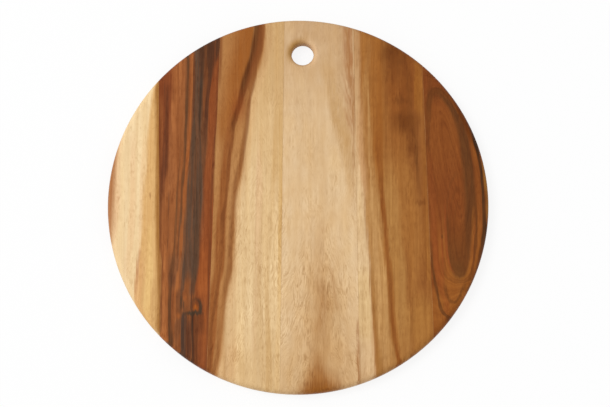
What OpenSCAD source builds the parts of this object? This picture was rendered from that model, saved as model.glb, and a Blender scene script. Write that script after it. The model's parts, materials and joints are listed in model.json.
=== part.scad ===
// Round serving board, edge-glued from long staves, with a hole to hang it by.
// The origin is the centre of the underside. +Z is up, the staves run along Y,
// and the hanging hole is near the rim on the +Y side.

/* [Board] */
// Diameter of the finished board
board_d = 350; // [300:1:450]
// Thickness of the finished board
board_t = 15; // [12:0.5:30]
// Radius of the round-over on the rim, above and below
rim_r = 5; // [1:0.5:5.5]

/* [Hanging hole] */
// Diameter of the drilled hole
hole_d = 20.5; // [10:0.5:35]
// Radius of the round-over on both mouths of the hole
hole_mouth_r = 4; // [0.5:0.5:5.5]
// Wood left between the hole's wall and the rim
hole_setback = 22.5; // [12:0.5:60]
// Angle of the hole from the line of the staves, towards +X
hole_turn = 1.7; // [-12:0.1:12]

/* [Staves] */
// Width of the dark heartwood stave across the middle of the board
dark_stave_w = 50; // [30:0.5:75]
// Width of the streaked stave across the middle of the board
streaked_stave_w = 63; // [40:0.5:85]
// Width of the stave with the hanging hole across the middle of the board
hole_stave_w = 68.5; // [50:0.5:90]
// Width of the honey-coloured stave across the middle of the board
honey_stave_w = 65.5; // [45:0.5:85]
// Distance from the board's centre to the left joint of the stave with the hole
centre_offset = 14.5; // [5:0.5:30]

/* [Joints] */
// Slant of the joint between the sapwood and dark staves
sapwood_joint_slant = -0.8; // [-3:0.1:3]
// Slant of the joint between the dark and streaked staves
dark_joint_slant = 1.9; // [-3:0.1:3]
// Slant of the joint between the streaked stave and the stave with the hole
streaked_joint_slant = 0.6; // [-3:0.1:3]
// Slant of the joint between the stave with the hole and the honey stave
hole_joint_slant = -0.8; // [-3:0.1:3]
// Slant of the joint between the honey and cathedral staves
honey_joint_slant = -1.8; // [-3:0.1:3]
// Thickness of the cured glue film in each joint
glue_t = 0.15; // [0.05:0.05:0.5]

/* [Hidden] */
$fn = 128;
// How far a cutter runs past the faces that it cuts
overrun = 1;

board_r = board_d / 2;
hole_r = hole_d / 2;
hole_reach = board_r - hole_setback - hole_r;

// Where each joint crosses the X axis, from left to right
streaked_joint = -centre_offset;
dark_joint = streaked_joint - streaked_stave_w;
sapwood_joint = dark_joint - dark_stave_w;
hole_joint = streaked_joint + hole_stave_w;
honey_joint = hole_joint + honey_stave_w;

joint_places = [sapwood_joint, dark_joint, streaked_joint, hole_joint, honey_joint];
joint_slants = [
    sapwood_joint_slant,
    dark_joint_slant,
    streaked_joint_slant,
    hole_joint_slant,
    honey_joint_slant
];
joint_count = len(joint_places);

// X of a joint's middle at a distance y along the staves, moved sideways, square to the joint
function joint_x(joint, y, aside) =
    joint_places[joint] + y * tan(joint_slants[joint]) + aside / cos(joint_slants[joint]);

// Half of the board's cross-section: a slab with a quarter round at each corner of the rim
module rim_profile() {
    square([board_r - rim_r, board_t]);
    translate([0, rim_r])
        square([board_r, board_t - 2 * rim_r]);
    for (z = [rim_r, board_t - rim_r])
        translate([board_r - rim_r, z])
            circle(r = rim_r);
}

// Half of one flared mouth, from the board's face to where the drilled wall starts
module mouth_profile() {
    difference() {
        translate([0, -overrun])
            square([hole_r + hole_mouth_r, hole_mouth_r + overrun]);
        translate([hole_r + hole_mouth_r, hole_mouth_r])
            circle(r = hole_mouth_r);
    }
}

// What the drill and the round-over bit take away
module hanging_hole() {
    rotate([0, 0, -hole_turn])
        translate([0, hole_reach, 0]) {
            translate([0, 0, -overrun])
                cylinder(r = hole_r, h = board_t + 2 * overrun);
            rotate_extrude()
                mouth_profile();
            translate([0, 0, board_t])
                mirror([0, 0, 1])
                    rotate_extrude()
                        mouth_profile();
        }
}

// The whole board as turned, rounded and drilled, before it is told apart into pieces
module blank() {
    difference() {
        rotate_extrude()
            rim_profile();
        hanging_hole();
    }
}

// Everything between two lines that run along the board, given as X at its two ends
module between(left_ends, right_ends) {
    translate([0, 0, -overrun])
        linear_extrude(height = board_t + 2 * overrun)
            polygon([
                [left_ends[0], -board_d],
                [right_ends[0], -board_d],
                [right_ends[1], board_d],
                [left_ends[1], board_d]
            ]);
}

function ends(joint, aside) = [joint_x(joint, -board_d, aside), joint_x(joint, board_d, aside)];

// Stave number i, counted from the left; the outer two run out to the rim
module stave(i) {
    left_ends = i == 0 ? [-board_d, -board_d] : ends(i - 1, glue_t / 2);
    right_ends = i == joint_count ? [board_d, board_d] : ends(i, -glue_t / 2);
    intersection() {
        blank();
        between(left_ends, right_ends);
    }
}

// The film of cured glue in joint number i, counted from the left, sanded flush with the wood
module glue_line(i) {
    color("burlywood")
        intersection() {
            blank();
            between(ends(i, -glue_t / 2), ends(i, glue_t / 2));
        }
}

module sapwood_edge_stave() {
    color("wheat")
        stave(0);
}

module dark_heart_stave() {
    color("saddlebrown")
        stave(1);
}

module streaked_stave() {
    color("burlywood")
        stave(2);
}

module hanging_hole_stave() {
    color("tan")
        stave(3);
}

module honey_stave() {
    color("peru")
        stave(4);
}

module cathedral_edge_stave() {
    color("sienna")
        stave(5);
}

sapwood_edge_stave();
dark_heart_stave();
streaked_stave();
hanging_hole_stave();
honey_stave();
cathedral_edge_stave();
glue_line(0);  // glue_line_1
glue_line(1);  // glue_line_2
glue_line(2);  // glue_line_3
glue_line(3);  // glue_line_4
glue_line(4);  // glue_line_5
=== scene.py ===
import json
import math

import bpy
import numpy as np
from mathutils import Matrix, Vector


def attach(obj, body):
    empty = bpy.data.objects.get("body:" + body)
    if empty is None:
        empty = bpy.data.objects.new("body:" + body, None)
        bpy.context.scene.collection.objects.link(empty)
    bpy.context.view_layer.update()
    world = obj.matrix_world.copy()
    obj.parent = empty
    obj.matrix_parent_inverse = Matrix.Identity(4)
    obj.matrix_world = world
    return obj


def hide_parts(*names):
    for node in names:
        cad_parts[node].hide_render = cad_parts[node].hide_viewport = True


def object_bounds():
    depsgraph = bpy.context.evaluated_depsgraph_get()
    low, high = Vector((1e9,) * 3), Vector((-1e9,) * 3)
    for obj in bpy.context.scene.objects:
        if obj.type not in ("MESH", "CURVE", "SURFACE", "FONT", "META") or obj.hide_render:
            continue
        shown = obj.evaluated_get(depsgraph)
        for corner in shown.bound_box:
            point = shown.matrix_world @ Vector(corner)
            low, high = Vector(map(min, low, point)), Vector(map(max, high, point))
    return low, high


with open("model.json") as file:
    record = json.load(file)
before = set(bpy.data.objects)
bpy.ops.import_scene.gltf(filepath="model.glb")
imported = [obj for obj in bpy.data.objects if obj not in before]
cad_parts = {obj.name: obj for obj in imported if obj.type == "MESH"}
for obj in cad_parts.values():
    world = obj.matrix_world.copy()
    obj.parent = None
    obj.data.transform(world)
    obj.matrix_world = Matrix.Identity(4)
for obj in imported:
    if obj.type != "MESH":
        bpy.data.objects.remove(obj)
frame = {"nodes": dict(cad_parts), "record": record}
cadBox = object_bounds()
print("frame loaded, nodes:", len(frame["nodes"]))

scene = bpy.context.scene
scene.view_settings.view_transform = "Standard"
perMetre = 1000.0  # the wood is drawn in millimetres

# satin finish of wood and glue: little shine, and a relief too fine to model
satinFinish = dict(
    sheen=0.006,  # white that the finish adds to every colour
    darkest=0.002,
    shine=0.1,
    reliefStrength=0.2,
    reliefDepth=0.00002,
)


def srgb(tone):  # palette colours are written as they look on the finished board, 0 to 255
    parts = [value / 255 for value in tone]
    linear = [p / 12.92 if p <= 0.04045 else ((p + 0.055) / 1.055) ** 2.4 for p in parts]
    return (*[max(value - satinFinish["sheen"], satinFinish["darkest"]) for value in linear], 1.0)


def addNode(tree, kind, inputs=None, **settings):
    node = tree.nodes.new(kind)
    for name, value in settings.items():
        setattr(node, name, value)
    for socket, value in (inputs or {}).items():
        if isinstance(value, bpy.types.NodeSocket):
            tree.links.new(value, node.inputs[socket])
        else:
            node.inputs[socket].default_value = value
    return node


def calc(tree, operation, first, second=0.0, third=0.0):
    return addNode(tree, "ShaderNodeMath", {0: first, 1: second, 2: third}, operation=operation).outputs[0]


def times(tree, first, *others):
    for other in others:
        first = calc(tree, "MULTIPLY", first, other)
    return first


def vector(tree, operation, *values):
    node = addNode(tree, "ShaderNodeVectorMath", dict(enumerate(values)), operation=operation)
    return node.outputs["Value" if operation in ("LENGTH", "DOT_PRODUCT") else "Vector"]


def scaled(tree, place, amount):
    return addNode(tree, "ShaderNodeVectorMath", {0: place, "Scale": amount}, operation="SCALE").outputs[0]


def split(tree, place):
    return addNode(tree, "ShaderNodeSeparateXYZ", {0: place}).outputs


def join(tree, x, y, z=0.0):
    return addNode(tree, "ShaderNodeCombineXYZ", {"X": x, "Y": y, "Z": z}).outputs[0]


def ramp(tree, value, low, high, start=0.0, end=1.0, kind="LINEAR"):
    spans = {"Value": value, "From Min": low, "From Max": high, "To Min": start, "To Max": end}
    return addNode(tree, "ShaderNodeMapRange", spans, interpolation_type=kind).outputs["Result"]


def fade(tree, value, low, high, start=0.0, end=1.0):
    return ramp(tree, value, low, high, start, end, "SMOOTHSTEP")


def noise(tree, place, lengths, octaves, seed=0.0):  # lengths in mm across, along and through the board
    sizes = tuple(1 / length for length in lengths)
    stretched = vector(tree, "MULTIPLY_ADD", place, sizes, (0, 0, seed))
    settings = {"Vector": stretched, "Scale": 1.0, "Detail": float(octaves)}
    return addNode(tree, "ShaderNodeTexNoise", settings, noise_dimensions="3D").outputs[0]


def boardPlace(tree):  # millimetres on the board, x across the staves and y along them
    return scaled(tree, addNode(tree, "ShaderNodeTexCoord").outputs["Object"], perMetre)


def newMaterial(name):
    made = bpy.data.materials.new(name)
    made.use_nodes = True
    made.node_tree.nodes.clear()
    return made


def satinSurface(tree, colour, roughness, height):
    relief = {"Strength": satinFinish["reliefStrength"], "Distance": satinFinish["reliefDepth"]}
    bump = addNode(tree, "ShaderNodeBump", {"Height": height, **relief})
    inputs = {
        "Base Color": colour,
        "Roughness": roughness,
        "Normal": bump.outputs[0],
        "Specular IOR Level": satinFinish["shine"],
    }
    shader = addNode(tree, "ShaderNodeBsdfPrincipled", inputs)
    addNode(tree, "ShaderNodeOutputMaterial", {"Surface": shader.outputs[0]})


def putInScene(name, data):
    made = bpy.data.objects.new(name, data)
    scene.collection.objects.link(made)
    return made


# camera, fitted to the board's outline and to its hanging hole
cameraLook = dict(
    tilt=11.5,  # degrees off straight down
    turn=3.3,  # degrees from the line of the staves, towards +X
    distance=2.465,
    focalPixels=2678.0,
    framePixels=610.0,
    sensor=36.0,
    clip=(0.05, 60.0),
    aside=0.0064,  # slid along its own right and up, so that the board sits in the frame as photographed
    above=0.0017,
)

lens = bpy.data.cameras.new("boardCamera")
lens.sensor_width = cameraLook["sensor"]
lens.lens = cameraLook["focalPixels"] / cameraLook["framePixels"] * cameraLook["sensor"]
lens.clip_start, lens.clip_end = cameraLook["clip"]
camera = putInScene("boardCamera", lens)
boardMiddle = (cadBox[0] + cadBox[1]) / 2
tilt, turn = math.radians(cameraLook["tilt"]), math.radians(cameraLook["turn"])
back = Vector((math.sin(tilt) * math.sin(turn), -math.sin(tilt) * math.cos(turn), math.cos(tilt)))
right = Vector((0, 1, 0)).cross(back).normalized()
up = back.cross(right)
camera.matrix_world = Matrix.LocRotScale(
    boardMiddle + back * cameraLook["distance"] + right * cameraLook["aside"] + up * cameraLook["above"],
    Matrix((right, up, back)).transposed(),
    None,
)
scene.camera = camera
print("camera set")

# soft light from the upper left, and a white floor that keeps a faint shadow
studio = dict(
    keyPlace=(-2.6, 0.7, 4.4),
    keySize=2.6,
    keyPower=108.0,
    skyStrength=0.66,
    floorSize=24.0,
    floorDrop=0.0001,  # keeps the floor clear of the underside
    floorWhite=0.96,
    floorGlow=0.86,  # how much of the floor's white is its own, the rest takes the shadow
)

keyData = bpy.data.lights.new("keyLight", "AREA")
keyData.shape = "DISK"
keyData.size = studio["keySize"]
keyData.energy = studio["keyPower"]
key = putInScene("keyLight", keyData)
key.location = studio["keyPlace"]
key.rotation_euler = (-Vector(studio["keyPlace"])).to_track_quat("-Z", "Y").to_euler()
key.visible_camera = False


def seenWhite(tree):  # 1 for what the camera sees, also in a reflection, 0 for the light on the board
    rays = addNode(tree, "ShaderNodeLightPath").outputs
    sharp = calc(tree, "MAXIMUM", rays["Is Glossy Ray"], rays["Is Transmission Ray"])
    return calc(tree, "MAXIMUM", rays["Is Camera Ray"], sharp)


sky = bpy.data.worlds.new("studioSky")
sky.use_nodes = True
scene.world = sky
skyGlow = sky.node_tree.nodes["Background"]
skyGlow.inputs["Color"].default_value = (1, 1, 1, 1)
sky.node_tree.links.new(
    ramp(sky.node_tree, seenWhite(sky.node_tree), 0.0, 1.0, studio["skyStrength"], 1.0),
    skyGlow.inputs["Strength"],
)

floorPaint = newMaterial("whiteFloor")
paint = floorPaint.node_tree
matte = addNode(paint, "ShaderNodeBsdfDiffuse", {"Color": (*[studio["floorWhite"]] * 3, 1)})
glow = addNode(paint, "ShaderNodeEmission", {"Color": (1, 1, 1, 1), "Strength": 1.0})
share = times(paint, seenWhite(paint), studio["floorGlow"])
both = addNode(paint, "ShaderNodeMixShader", {0: share, 1: matte.outputs[0], 2: glow.outputs[0]})
addNode(paint, "ShaderNodeOutputMaterial", {"Surface": both.outputs[0]})
floorMesh = bpy.data.meshes.new("floor")
half = studio["floorSize"] / 2
corners = [(-half, -half, 0), (half, -half, 0), (half, half, 0), (-half, half, 0)]
floorMesh.from_pydata(corners, [], [(0, 1, 2, 3)])
floorMesh.materials.append(floorPaint)
floorMesh.transform(Matrix.Translation((0, 0, cadBox[0].z - studio["floorDrop"])))
putInScene("floor", floorMesh)
print("studio lit")

# sizes of the board in metres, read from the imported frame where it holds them
holeMount = next(m for m in frame["record"]["mounts"] if m["name"] == "hanging_hole")
board = dict(
    radius=(cadBox[1].x - cadBox[0].x) / 2,
    thickness=cadBox[1].z - cadBox[0].z,
    rimRounding=0.005,
    holeRadius=holeMount["dims"]["r_mm"] / perMetre,
    mouthRounding=0.004,
    holeAcross=holeMount["pos_m"][0],
    holeAlong=holeMount["pos_m"][1],
    glue=0.00015,
    rimSteps=720,  # facets round the rim
    holeSteps=128,
    arcSteps=10,  # facets over each quarter round
    wallSteps=2,
    drillPast=0.001,  # how far the drill runs past both faces
    slabLength=4.0,  # the saw's slab, in board radii and in thicknesses
    slabHeight=6.0,
    weld=1e-7,  # vertices closer than this become one
    flatNormal=0.9999,  # a face that looks straight up or down stays flat
    sharpAngle=0.6,  # edges that turn further than this, in radians, stay crisp
)
boardInputs = {
    "Board radius": "radius",
    "Thickness": "thickness",
    "Rim rounding": "rimRounding",
    "Hole radius": "holeRadius",
    "Mouth rounding": "mouthRounding",
    "Hole across": "holeAcross",
    "Hole along": "holeAlong",
}
jointInputs = ["Left joint", "Left slope", "Right joint", "Right slope"]


def vertexPlace(tree):
    return split(tree, addNode(tree, "GeometryNodeInputPosition").outputs[0])


def setPlace(tree, form, place):
    moved = {"Geometry": form.outputs["Mesh"], "Position": place}
    return addNode(tree, "GeometryNodeSetPosition", moved).outputs[0]


def turnedForm(tree, sizes, radius, rounding, outward, around, runPast):
    # a cylinder with a quarter round at both ends: outward -1 rounds a rim, +1 opens a mouth
    thickness = sizes["Thickness"]
    wallSteps = board["wallSteps"]
    extraSteps = wallSteps if runPast else 0
    steps = wallSteps + 2 * board["arcSteps"] + extraSteps
    wallShare, edgeShare = wallSteps / steps, (steps - extraSteps) / steps
    inputs = {"Vertices": around, "Side Segments": steps, "Radius": radius, "Depth": thickness}
    form = addNode(tree, "GeometryNodeMeshCylinder", inputs, fill_type="NGON")
    place = vertexPlace(tree)
    halfway = times(tree, thickness, 0.5)
    climb = calc(tree, "DIVIDE", calc(tree, "ABSOLUTE", place["Z"]), halfway)
    angle = ramp(tree, climb, wallShare, edgeShare, 0.0, math.pi / 2)
    wall = ramp(tree, climb, 0.0, wallShare)
    height = times(tree, wall, calc(tree, "SUBTRACT", halfway, rounding))
    height = calc(tree, "MULTIPLY_ADD", rounding, calc(tree, "SINE", angle), height)
    if runPast:
        height = calc(tree, "ADD", height, ramp(tree, climb, edgeShare, 1.0, 0.0, runPast))
    height = times(tree, height, calc(tree, "SIGN", place["Z"]))
    drawn = calc(tree, "SUBTRACT", 1.0, calc(tree, "COSINE", angle))
    reach = calc(tree, "MULTIPLY_ADD", times(tree, rounding, outward), drawn, radius)
    scale = calc(tree, "DIVIDE", reach, radius)
    x, y = times(tree, place["X"], scale), times(tree, place["Y"], scale)
    return setPlace(tree, form, join(tree, x, y, calc(tree, "ADD", height, halfway)))


def slantedSlab(tree, sizes):  # everything between two joints, well past the rim and both faces
    slab = addNode(tree, "GeometryNodeMeshCube", {"Size": (1, 1, 1)})
    place = vertexPlace(tree)
    along = times(tree, place["Y"], times(tree, sizes["Board radius"], board["slabLength"]))
    leftX = calc(tree, "MULTIPLY_ADD", along, sizes["Left slope"], sizes["Left joint"])
    rightX = calc(tree, "MULTIPLY_ADD", along, sizes["Right slope"], sizes["Right joint"])
    onRight = calc(tree, "GREATER_THAN", place["X"], 0.0)
    across = calc(tree, "MULTIPLY_ADD", onRight, calc(tree, "SUBTRACT", rightX, leftX), leftX)
    height = times(tree, place["Z"], times(tree, sizes["Thickness"], board["slabHeight"]))
    return setPlace(tree, slab, join(tree, across, along, height))


def staveShape():
    tree = bpy.data.node_groups.new("staveShape", "GeometryNodeTree")
    for name in [*boardInputs, *jointInputs]:
        tree.interface.new_socket(name=name, in_out="INPUT", socket_type="NodeSocketFloat")
    tree.interface.new_socket(name="Material", in_out="INPUT", socket_type="NodeSocketMaterial")
    tree.interface.new_socket(name="Stave", in_out="OUTPUT", socket_type="NodeSocketGeometry")
    sizes = tree.nodes.new("NodeGroupInput").outputs
    radius, holeRadius = sizes["Board radius"], sizes["Hole radius"]
    blank = turnedForm(tree, sizes, radius, sizes["Rim rounding"], -1.0, board["rimSteps"], 0.0)
    mouth = sizes["Mouth rounding"]
    cutter = turnedForm(tree, sizes, holeRadius, mouth, 1.0, board["holeSteps"], board["drillPast"])
    offset = join(tree, sizes["Hole across"], sizes["Hole along"])
    drill = addNode(tree, "GeometryNodeTransform", {"Geometry": cutter, "Translation": offset})
    sawn = addNode(tree, "GeometryNodeMeshBoolean", operation="INTERSECT", solver="EXACT")
    tree.links.new(blank, sawn.inputs["Mesh 2"])
    tree.links.new(slantedSlab(tree, sizes), sawn.inputs["Mesh 2"])
    cut = {"Mesh 1": sawn.outputs["Mesh"], "Mesh 2": drill.outputs[0]}
    drilled = addNode(tree, "GeometryNodeMeshBoolean", cut, operation="DIFFERENCE", solver="EXACT")
    welded = {"Geometry": drilled.outputs["Mesh"], "Distance": board["weld"]}
    form = addNode(tree, "GeometryNodeMergeByDistance", welded)
    # the two faces stay flat, the rounded rim and hole are smooth, and every saw cut keeps its edge
    facing = split(tree, addNode(tree, "GeometryNodeInputNormal").outputs[0])
    rounded = calc(tree, "LESS_THAN", calc(tree, "ABSOLUTE", facing["Z"]), board["flatNormal"])
    angle = addNode(tree, "GeometryNodeInputMeshEdgeAngle").outputs["Unsigned Angle"]
    gentle = calc(tree, "LESS_THAN", angle, board["sharpAngle"])
    for domain, smooth in (("FACE", rounded), ("EDGE", gentle)):
        shading = {"Geometry": form.outputs[0], "Shade Smooth": smooth}
        form = addNode(tree, "GeometryNodeSetShadeSmooth", shading, domain=domain)
    real = addNode(tree, "GeometryNodeRealizeInstances", {"Geometry": form.outputs[0]})
    dressing = {"Geometry": real.outputs[0], "Material": sizes["Material"]}
    dressed = addNode(tree, "GeometryNodeSetMaterial", dressing)
    addNode(tree, "NodeGroupOutput", {"Stave": dressed.outputs[0]})
    return tree


def jointLine(node):  # a glue film is straight, so one fitted line says where its joint runs
    places = np.array([vertex.co[:] for vertex in frame["nodes"][node].data.vertices])
    slope, place = np.polyfit(places[:, 1], places[:, 0], 1)
    return float(place), float(slope)


def growPiece(name, shape, left, right, material):
    sizes = {label: board[size] for label, size in boardInputs.items()}
    sizes.update(zip(jointInputs, (*left, *right)), Material=material)
    seed = putInScene(name + "Seed", bpy.data.meshes.new(name + "Seed"))
    modifier = seed.modifiers.new("staveShape", "NODES")
    modifier.node_group = shape
    for item in shape.interface.items_tree:
        if item.in_out == "INPUT":
            modifier[item.identifier] = sizes[item.name]
    grown = bpy.data.meshes.new_from_object(seed.evaluated_get(bpy.context.evaluated_depsgraph_get()))
    bpy.data.objects.remove(seed)
    grown.name = name
    piece = putInScene(name, grown)
    print(name, "faces", len(grown.polygons))
    return piece


# wood: rows and places are millimetres on the board, as boardPlace reads them
acrossSpan, alongSpan, widthSpan = 200.0, 180.0, 40.0
noiseSpread = {1: 10.0, 2: 11.3}  # brings noise of so many octaves to a spread of about 1
endFade = 10.0  # mm past its last row over which a streak dies away
# fine fibre of every stave; a pair of noise values is where a pattern starts and where it is full
fibre = dict(
    tierLength=24.0,  # fine fibre is drawn in lengths of this many mm
    breakNoise=(-2.0, 0.6),  # noise where a streak is most broken and where it is whole
    hue=(0.75, 1.0, 1.3),  # darker fibres are the more saturated ones too
    blushHue=(0.15, 0.5, 1.2),  # creamier here, more straw there
    clusterNoise=(-1.5, 1.5),
    clusterShare=(0.4, 1.6),  # strands and flecks left between clusters, and in them
    dashNoise=(-0.6, 1.8),
    dashTone=(0.6, -1.6),  # mostly a little lighter, with fewer dark dashes
    poreNoise=(1.0, 2.0),
    poreDepth=1.5,
    poreRough=0.12,
    satinNoise=(-2.0, 2.0),
    satinSpread=0.06,
    endFacing=(0.3, 1.0),  # how squarely a face looks along the stave where end grain starts and is full
    paintedMouthReach=13.0,  # mm towards its side of the hole where the light and shade painted round the mouth are full
    ringMiddle=4.0,  # mm either side of a ring's middle over which its left half passes into its right
)


class WoodTree:  # the nodes of one stave's wood, with the sockets that every streak of it reads
    def __init__(self, look):
        self.material = newMaterial(look["slot"])
        self.tree = tree = self.material.node_tree
        self.seed = look["seed"]
        self.place = boardPlace(tree)
        self.parts = parts = split(tree, self.place)
        self.depth = depth = calc(tree, "SUBTRACT", board["thickness"] * perMetre, parts["Z"])
        self.across = calc(tree, "MULTIPLY_ADD", depth, look["ringLean"], parts["X"])
        for amount, lengths in look["waves"]:
            self.across = calc(tree, "MULTIPLY_ADD", self.sway(self.place, lengths), amount, self.across)
        amount, lengths = look["ragged"]
        self.along = calc(tree, "MULTIPLY_ADD", self.sway(self.place, lengths), amount, parts["Y"])
        self.spot = join(tree, self.across, self.along)
        share = calc(tree, "DIVIDE", parts["Y"], alongSpan)
        self.alongShare = join(tree, share, share, share)
        self.grain = join(tree, self.across, parts["Y"], depth)
        amount, lengths = look["breaks"]
        self.broken = ramp(tree, self.sway(self.grain, lengths, 2), *fibre["breakNoise"], 1 - amount, 1.0)
        ground = addNode(tree, "ShaderNodeRGB")
        ground.outputs[0].default_value = srgb(look["tones"]["ground"])
        self.colour = ground.outputs[0]

    def sway(self, place, lengths, octaves=1):  # smooth noise about 0
        found = noise(self.tree, place, lengths, octaves, self.seed)
        spread = noiseSpread[octaves]
        return calc(self.tree, "MULTIPLY_ADD", found, spread, -spread / 2)

    def lay(self, tone, *masks):
        mask = times(self.tree, *masks)
        mixed = addNode(self.tree, "ShaderNodeMix", {0: mask, 6: self.colour, 7: tone}, data_type="RGBA")
        self.colour = mixed.outputs[2]

    def follow(self, rows):  # rows of along, across, half width and strength, as three curves in one node
        node = addNode(self.tree, "ShaderNodeVectorCurve", {"Vector": self.alongShare})
        node.mapping.extend = "HORIZONTAL"
        first, last = min(rows), max(rows)
        ends = [(first[0] - endFade, *first[1:3], 0.0), (last[0] + endFade, *last[1:3], 0.0)]
        ordered = sorted([*rows, *ends])
        for axis, span in ((1, acrossSpan), (2, widthSpan), (3, 1.0)):
            points = node.mapping.curves[axis - 1].points
            spots = [(row[0] / alongSpan, row[axis] / span) for row in ordered]
            for _ in spots[2:]:
                points.new(0.0, 0.0)
            for point, spot in zip(points, spots):
                point.location = spot
                point.handle_type = "AUTO_CLAMPED"
        node.mapping.update()
        found = split(self.tree, node.outputs[0])
        place = times(self.tree, found["X"], acrossSpan)
        return calc(self.tree, "SUBTRACT", self.across, place), found["Y"], found["Z"]

    def streak(self, tone, soft, rows):  # soft: mm over which its left and its right edge fade
        tree = self.tree
        aside, width, strength = self.follow(rows)
        past = calc(tree, "MULTIPLY_ADD", width, -widthSpan, calc(tree, "ABSOLUTE", aside))
        onLeft = calc(tree, "LESS_THAN", aside, 0.0)
        edge = calc(tree, "MULTIPLY_ADD", onLeft, soft[0] - soft[1], soft[1])
        mask = fade(tree, calc(tree, "DIVIDE", past, edge), 0.0, 1.0, 1.0, 0.0)
        self.lay(tone, mask, self.broken, strength)

    def side(self, tone, leftOf, soft, rows):  # one side of a line, rows of along, across, strength
        rows = [(row[0], row[1], 0.0, row[2] if len(row) > 2 else 1.0) for row in rows]
        aside, _, strength = self.follow(rows)
        low, high = (soft / 2, -soft / 2) if leftOf else (-soft / 2, soft / 2)
        self.lay(tone, fade(self.tree, aside, low, high), strength)

    def reach(self, at, size, turned=0.0):  # 0 in the middle of an oval, 1 on its line
        spans = {"Location": (*at, 0), "Rotation": (0, 0, math.radians(turned)), "Scale": (*size, 1)}
        local = addNode(self.tree, "ShaderNodeMapping", {"Vector": self.spot, **spans}, vector_type="TEXTURE")
        return vector(self.tree, "LENGTH", local.outputs[0])

    def blotch(self, tone, at, size, soft, strength, turned=0.0):
        reach = self.reach(at, size, turned)
        self.lay(tone, fade(self.tree, reach, 1 - soft, 1 + soft, strength, 0.0))

    def mouth(self, tone, towards, width, strength):  # painted light and shade round the hole's rounded mouth, strongest on one side of it
        tree = self.tree
        middle = (board["holeAcross"] * perMetre, board["holeAlong"] * perMetre, 0.0)
        flat = vector(tree, "MULTIPLY", vector(tree, "SUBTRACT", self.place, middle), (1, 1, 0))
        wall = board["holeRadius"] * perMetre
        mask = fade(tree, vector(tree, "LENGTH", flat), wall, wall + width, strength, 0.0)
        way = vector(tree, "DOT_PRODUCT", flat, (*Vector(towards).normalized(), 0))
        self.lay(tone, mask, fade(tree, way, 0.0, fibre["paintedMouthReach"]))

    def ring(self, tone, at, size, thick, leftStrength, rightStrength):  # a knot's rim or a growth ring
        off = calc(self.tree, "ABSOLUTE", calc(self.tree, "SUBTRACT", self.reach(at, size), 1.0))
        mask = fade(self.tree, off, 0.0, thick, 1.0, 0.0)
        uneven = ramp(self.tree, self.across, at[0] - size[0], at[0] + size[0], leftStrength, rightStrength)
        self.lay(tone, mask, uneven)

    def offRing(self, ring):  # mm outside a growth ring's line, and mm aside from its middle
        # ring: tip, how fast it widens, how soon it stops widening, lean, and 1 or -1 for opening up or down
        tree = self.tree
        tip, rise, fill, lean, upward = ring
        climb = times(tree, calc(tree, "SUBTRACT", self.along, tip[1]), upward)
        aside = calc(tree, "SUBTRACT", self.across, calc(tree, "MULTIPLY_ADD", climb, lean, tip[0]))
        squared = times(tree, aside, aside)
        held = calc(tree, "MULTIPLY_ADD", calc(tree, "MAXIMUM", climb, 0.0), 1 / fill, 1.0)
        room = calc(tree, "DIVIDE", times(tree, climb, rise), held)
        # how far a level curve misses 0, over how steep it is there, is close to a distance
        steep = calc(tree, "SQRT", calc(tree, "MULTIPLY_ADD", squared, 4.0, rise * rise))
        return calc(tree, "DIVIDE", calc(tree, "SUBTRACT", squared, room), steep), aside

    def bendGrain(self, lowRing, highRing, low, high):  # the figure's fine lines run along the rings
        offs = [self.offRing(ring)[0] for ring in (lowRing, highRing)]
        share = ramp(self.tree, self.along, low, high)
        off = addNode(self.tree, "ShaderNodeMix", {0: share, 2: offs[0], 3: offs[1]}).outputs[0]
        self.grain = join(self.tree, off, self.parts["Y"], self.depth)

    def arch(self, tone, ring, span, soft, strength, ends, leftShare):
        # span: mm off the ring's line where the tone starts and stops
        # ends: y where it begins to fade, and where it is gone
        tree = self.tree
        off, aside = self.offRing(ring)
        outer = fade(tree, off, span[1], span[1] + soft, strength, 0.0)
        inner = fade(tree, off, span[0] - soft, span[0])
        halves = fade(tree, aside, -fibre["ringMiddle"], fibre["ringMiddle"], leftShare, 1.0)
        self.lay(tone, outer, inner, halves, self.broken, fade(tree, self.along, *ends, 1.0, 0.0))

    def tint(self, pattern, amount, hue=fibre["hue"]):
        slopes = tuple(amount * share for share in hue)
        scale = vector(self.tree, "MULTIPLY_ADD", pattern, slopes, (1, 1, 1))
        self.colour = vector(self.tree, "MULTIPLY", self.colour, scale)

    def comb(self, figure):  # places for the fine fibre, which leans: a fan about one line, and a slow sway
        tree = self.tree
        length = fibre["tierLength"]
        middle, rate, high, low = figure["fan"]
        amount, lengths = figure["lean"]
        spread = ramp(tree, self.along, low, high, -rate, 0.0)
        fan = times(tree, calc(tree, "SUBTRACT", self.across, middle), spread)
        slope = calc(tree, "MULTIPLY_ADD", self.sway(self.place, lengths), amount, fan)
        # two sets of tiers, each crossing over to the other where its own tiers meet
        self.tiers = []
        for shift in (0.0, 0.5):
            tier = calc(tree, "MULTIPLY_ADD", self.parts["Y"], 1 / length, shift)
            number = calc(tree, "FLOOR", tier)
            off = calc(tree, "SUBTRACT", calc(tree, "SUBTRACT", tier, number), 0.5)
            across = calc(tree, "MULTIPLY_ADD", times(tree, slope, -length), off, self.across)
            through = calc(tree, "MULTIPLY_ADD", number, length, self.depth)
            self.tiers.append(join(tree, across, self.parts["Y"], through))
        self.firstShare = times(tree, calc(tree, "ABSOLUTE", off), 2.0)

    def combed(self, lengths):
        first, second = [self.sway(place, lengths) for place in self.tiers]
        return addNode(self.tree, "ShaderNodeMix", {0: self.firstShare, 2: second, 3: first}).outputs[0]

    def finish(self, figure, rough):  # fine figure over the streaks, then the satin finish
        tree = self.tree
        self.comb(figure)
        for name in ("bands", "lines", "curl"):
            amount, lengths = figure[name]
            self.tint(self.sway(self.grain, lengths, 2), amount)
        amount, lengths = figure["blush"]
        self.tint(self.sway(self.place, lengths), amount, fibre["blushHue"])
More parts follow.
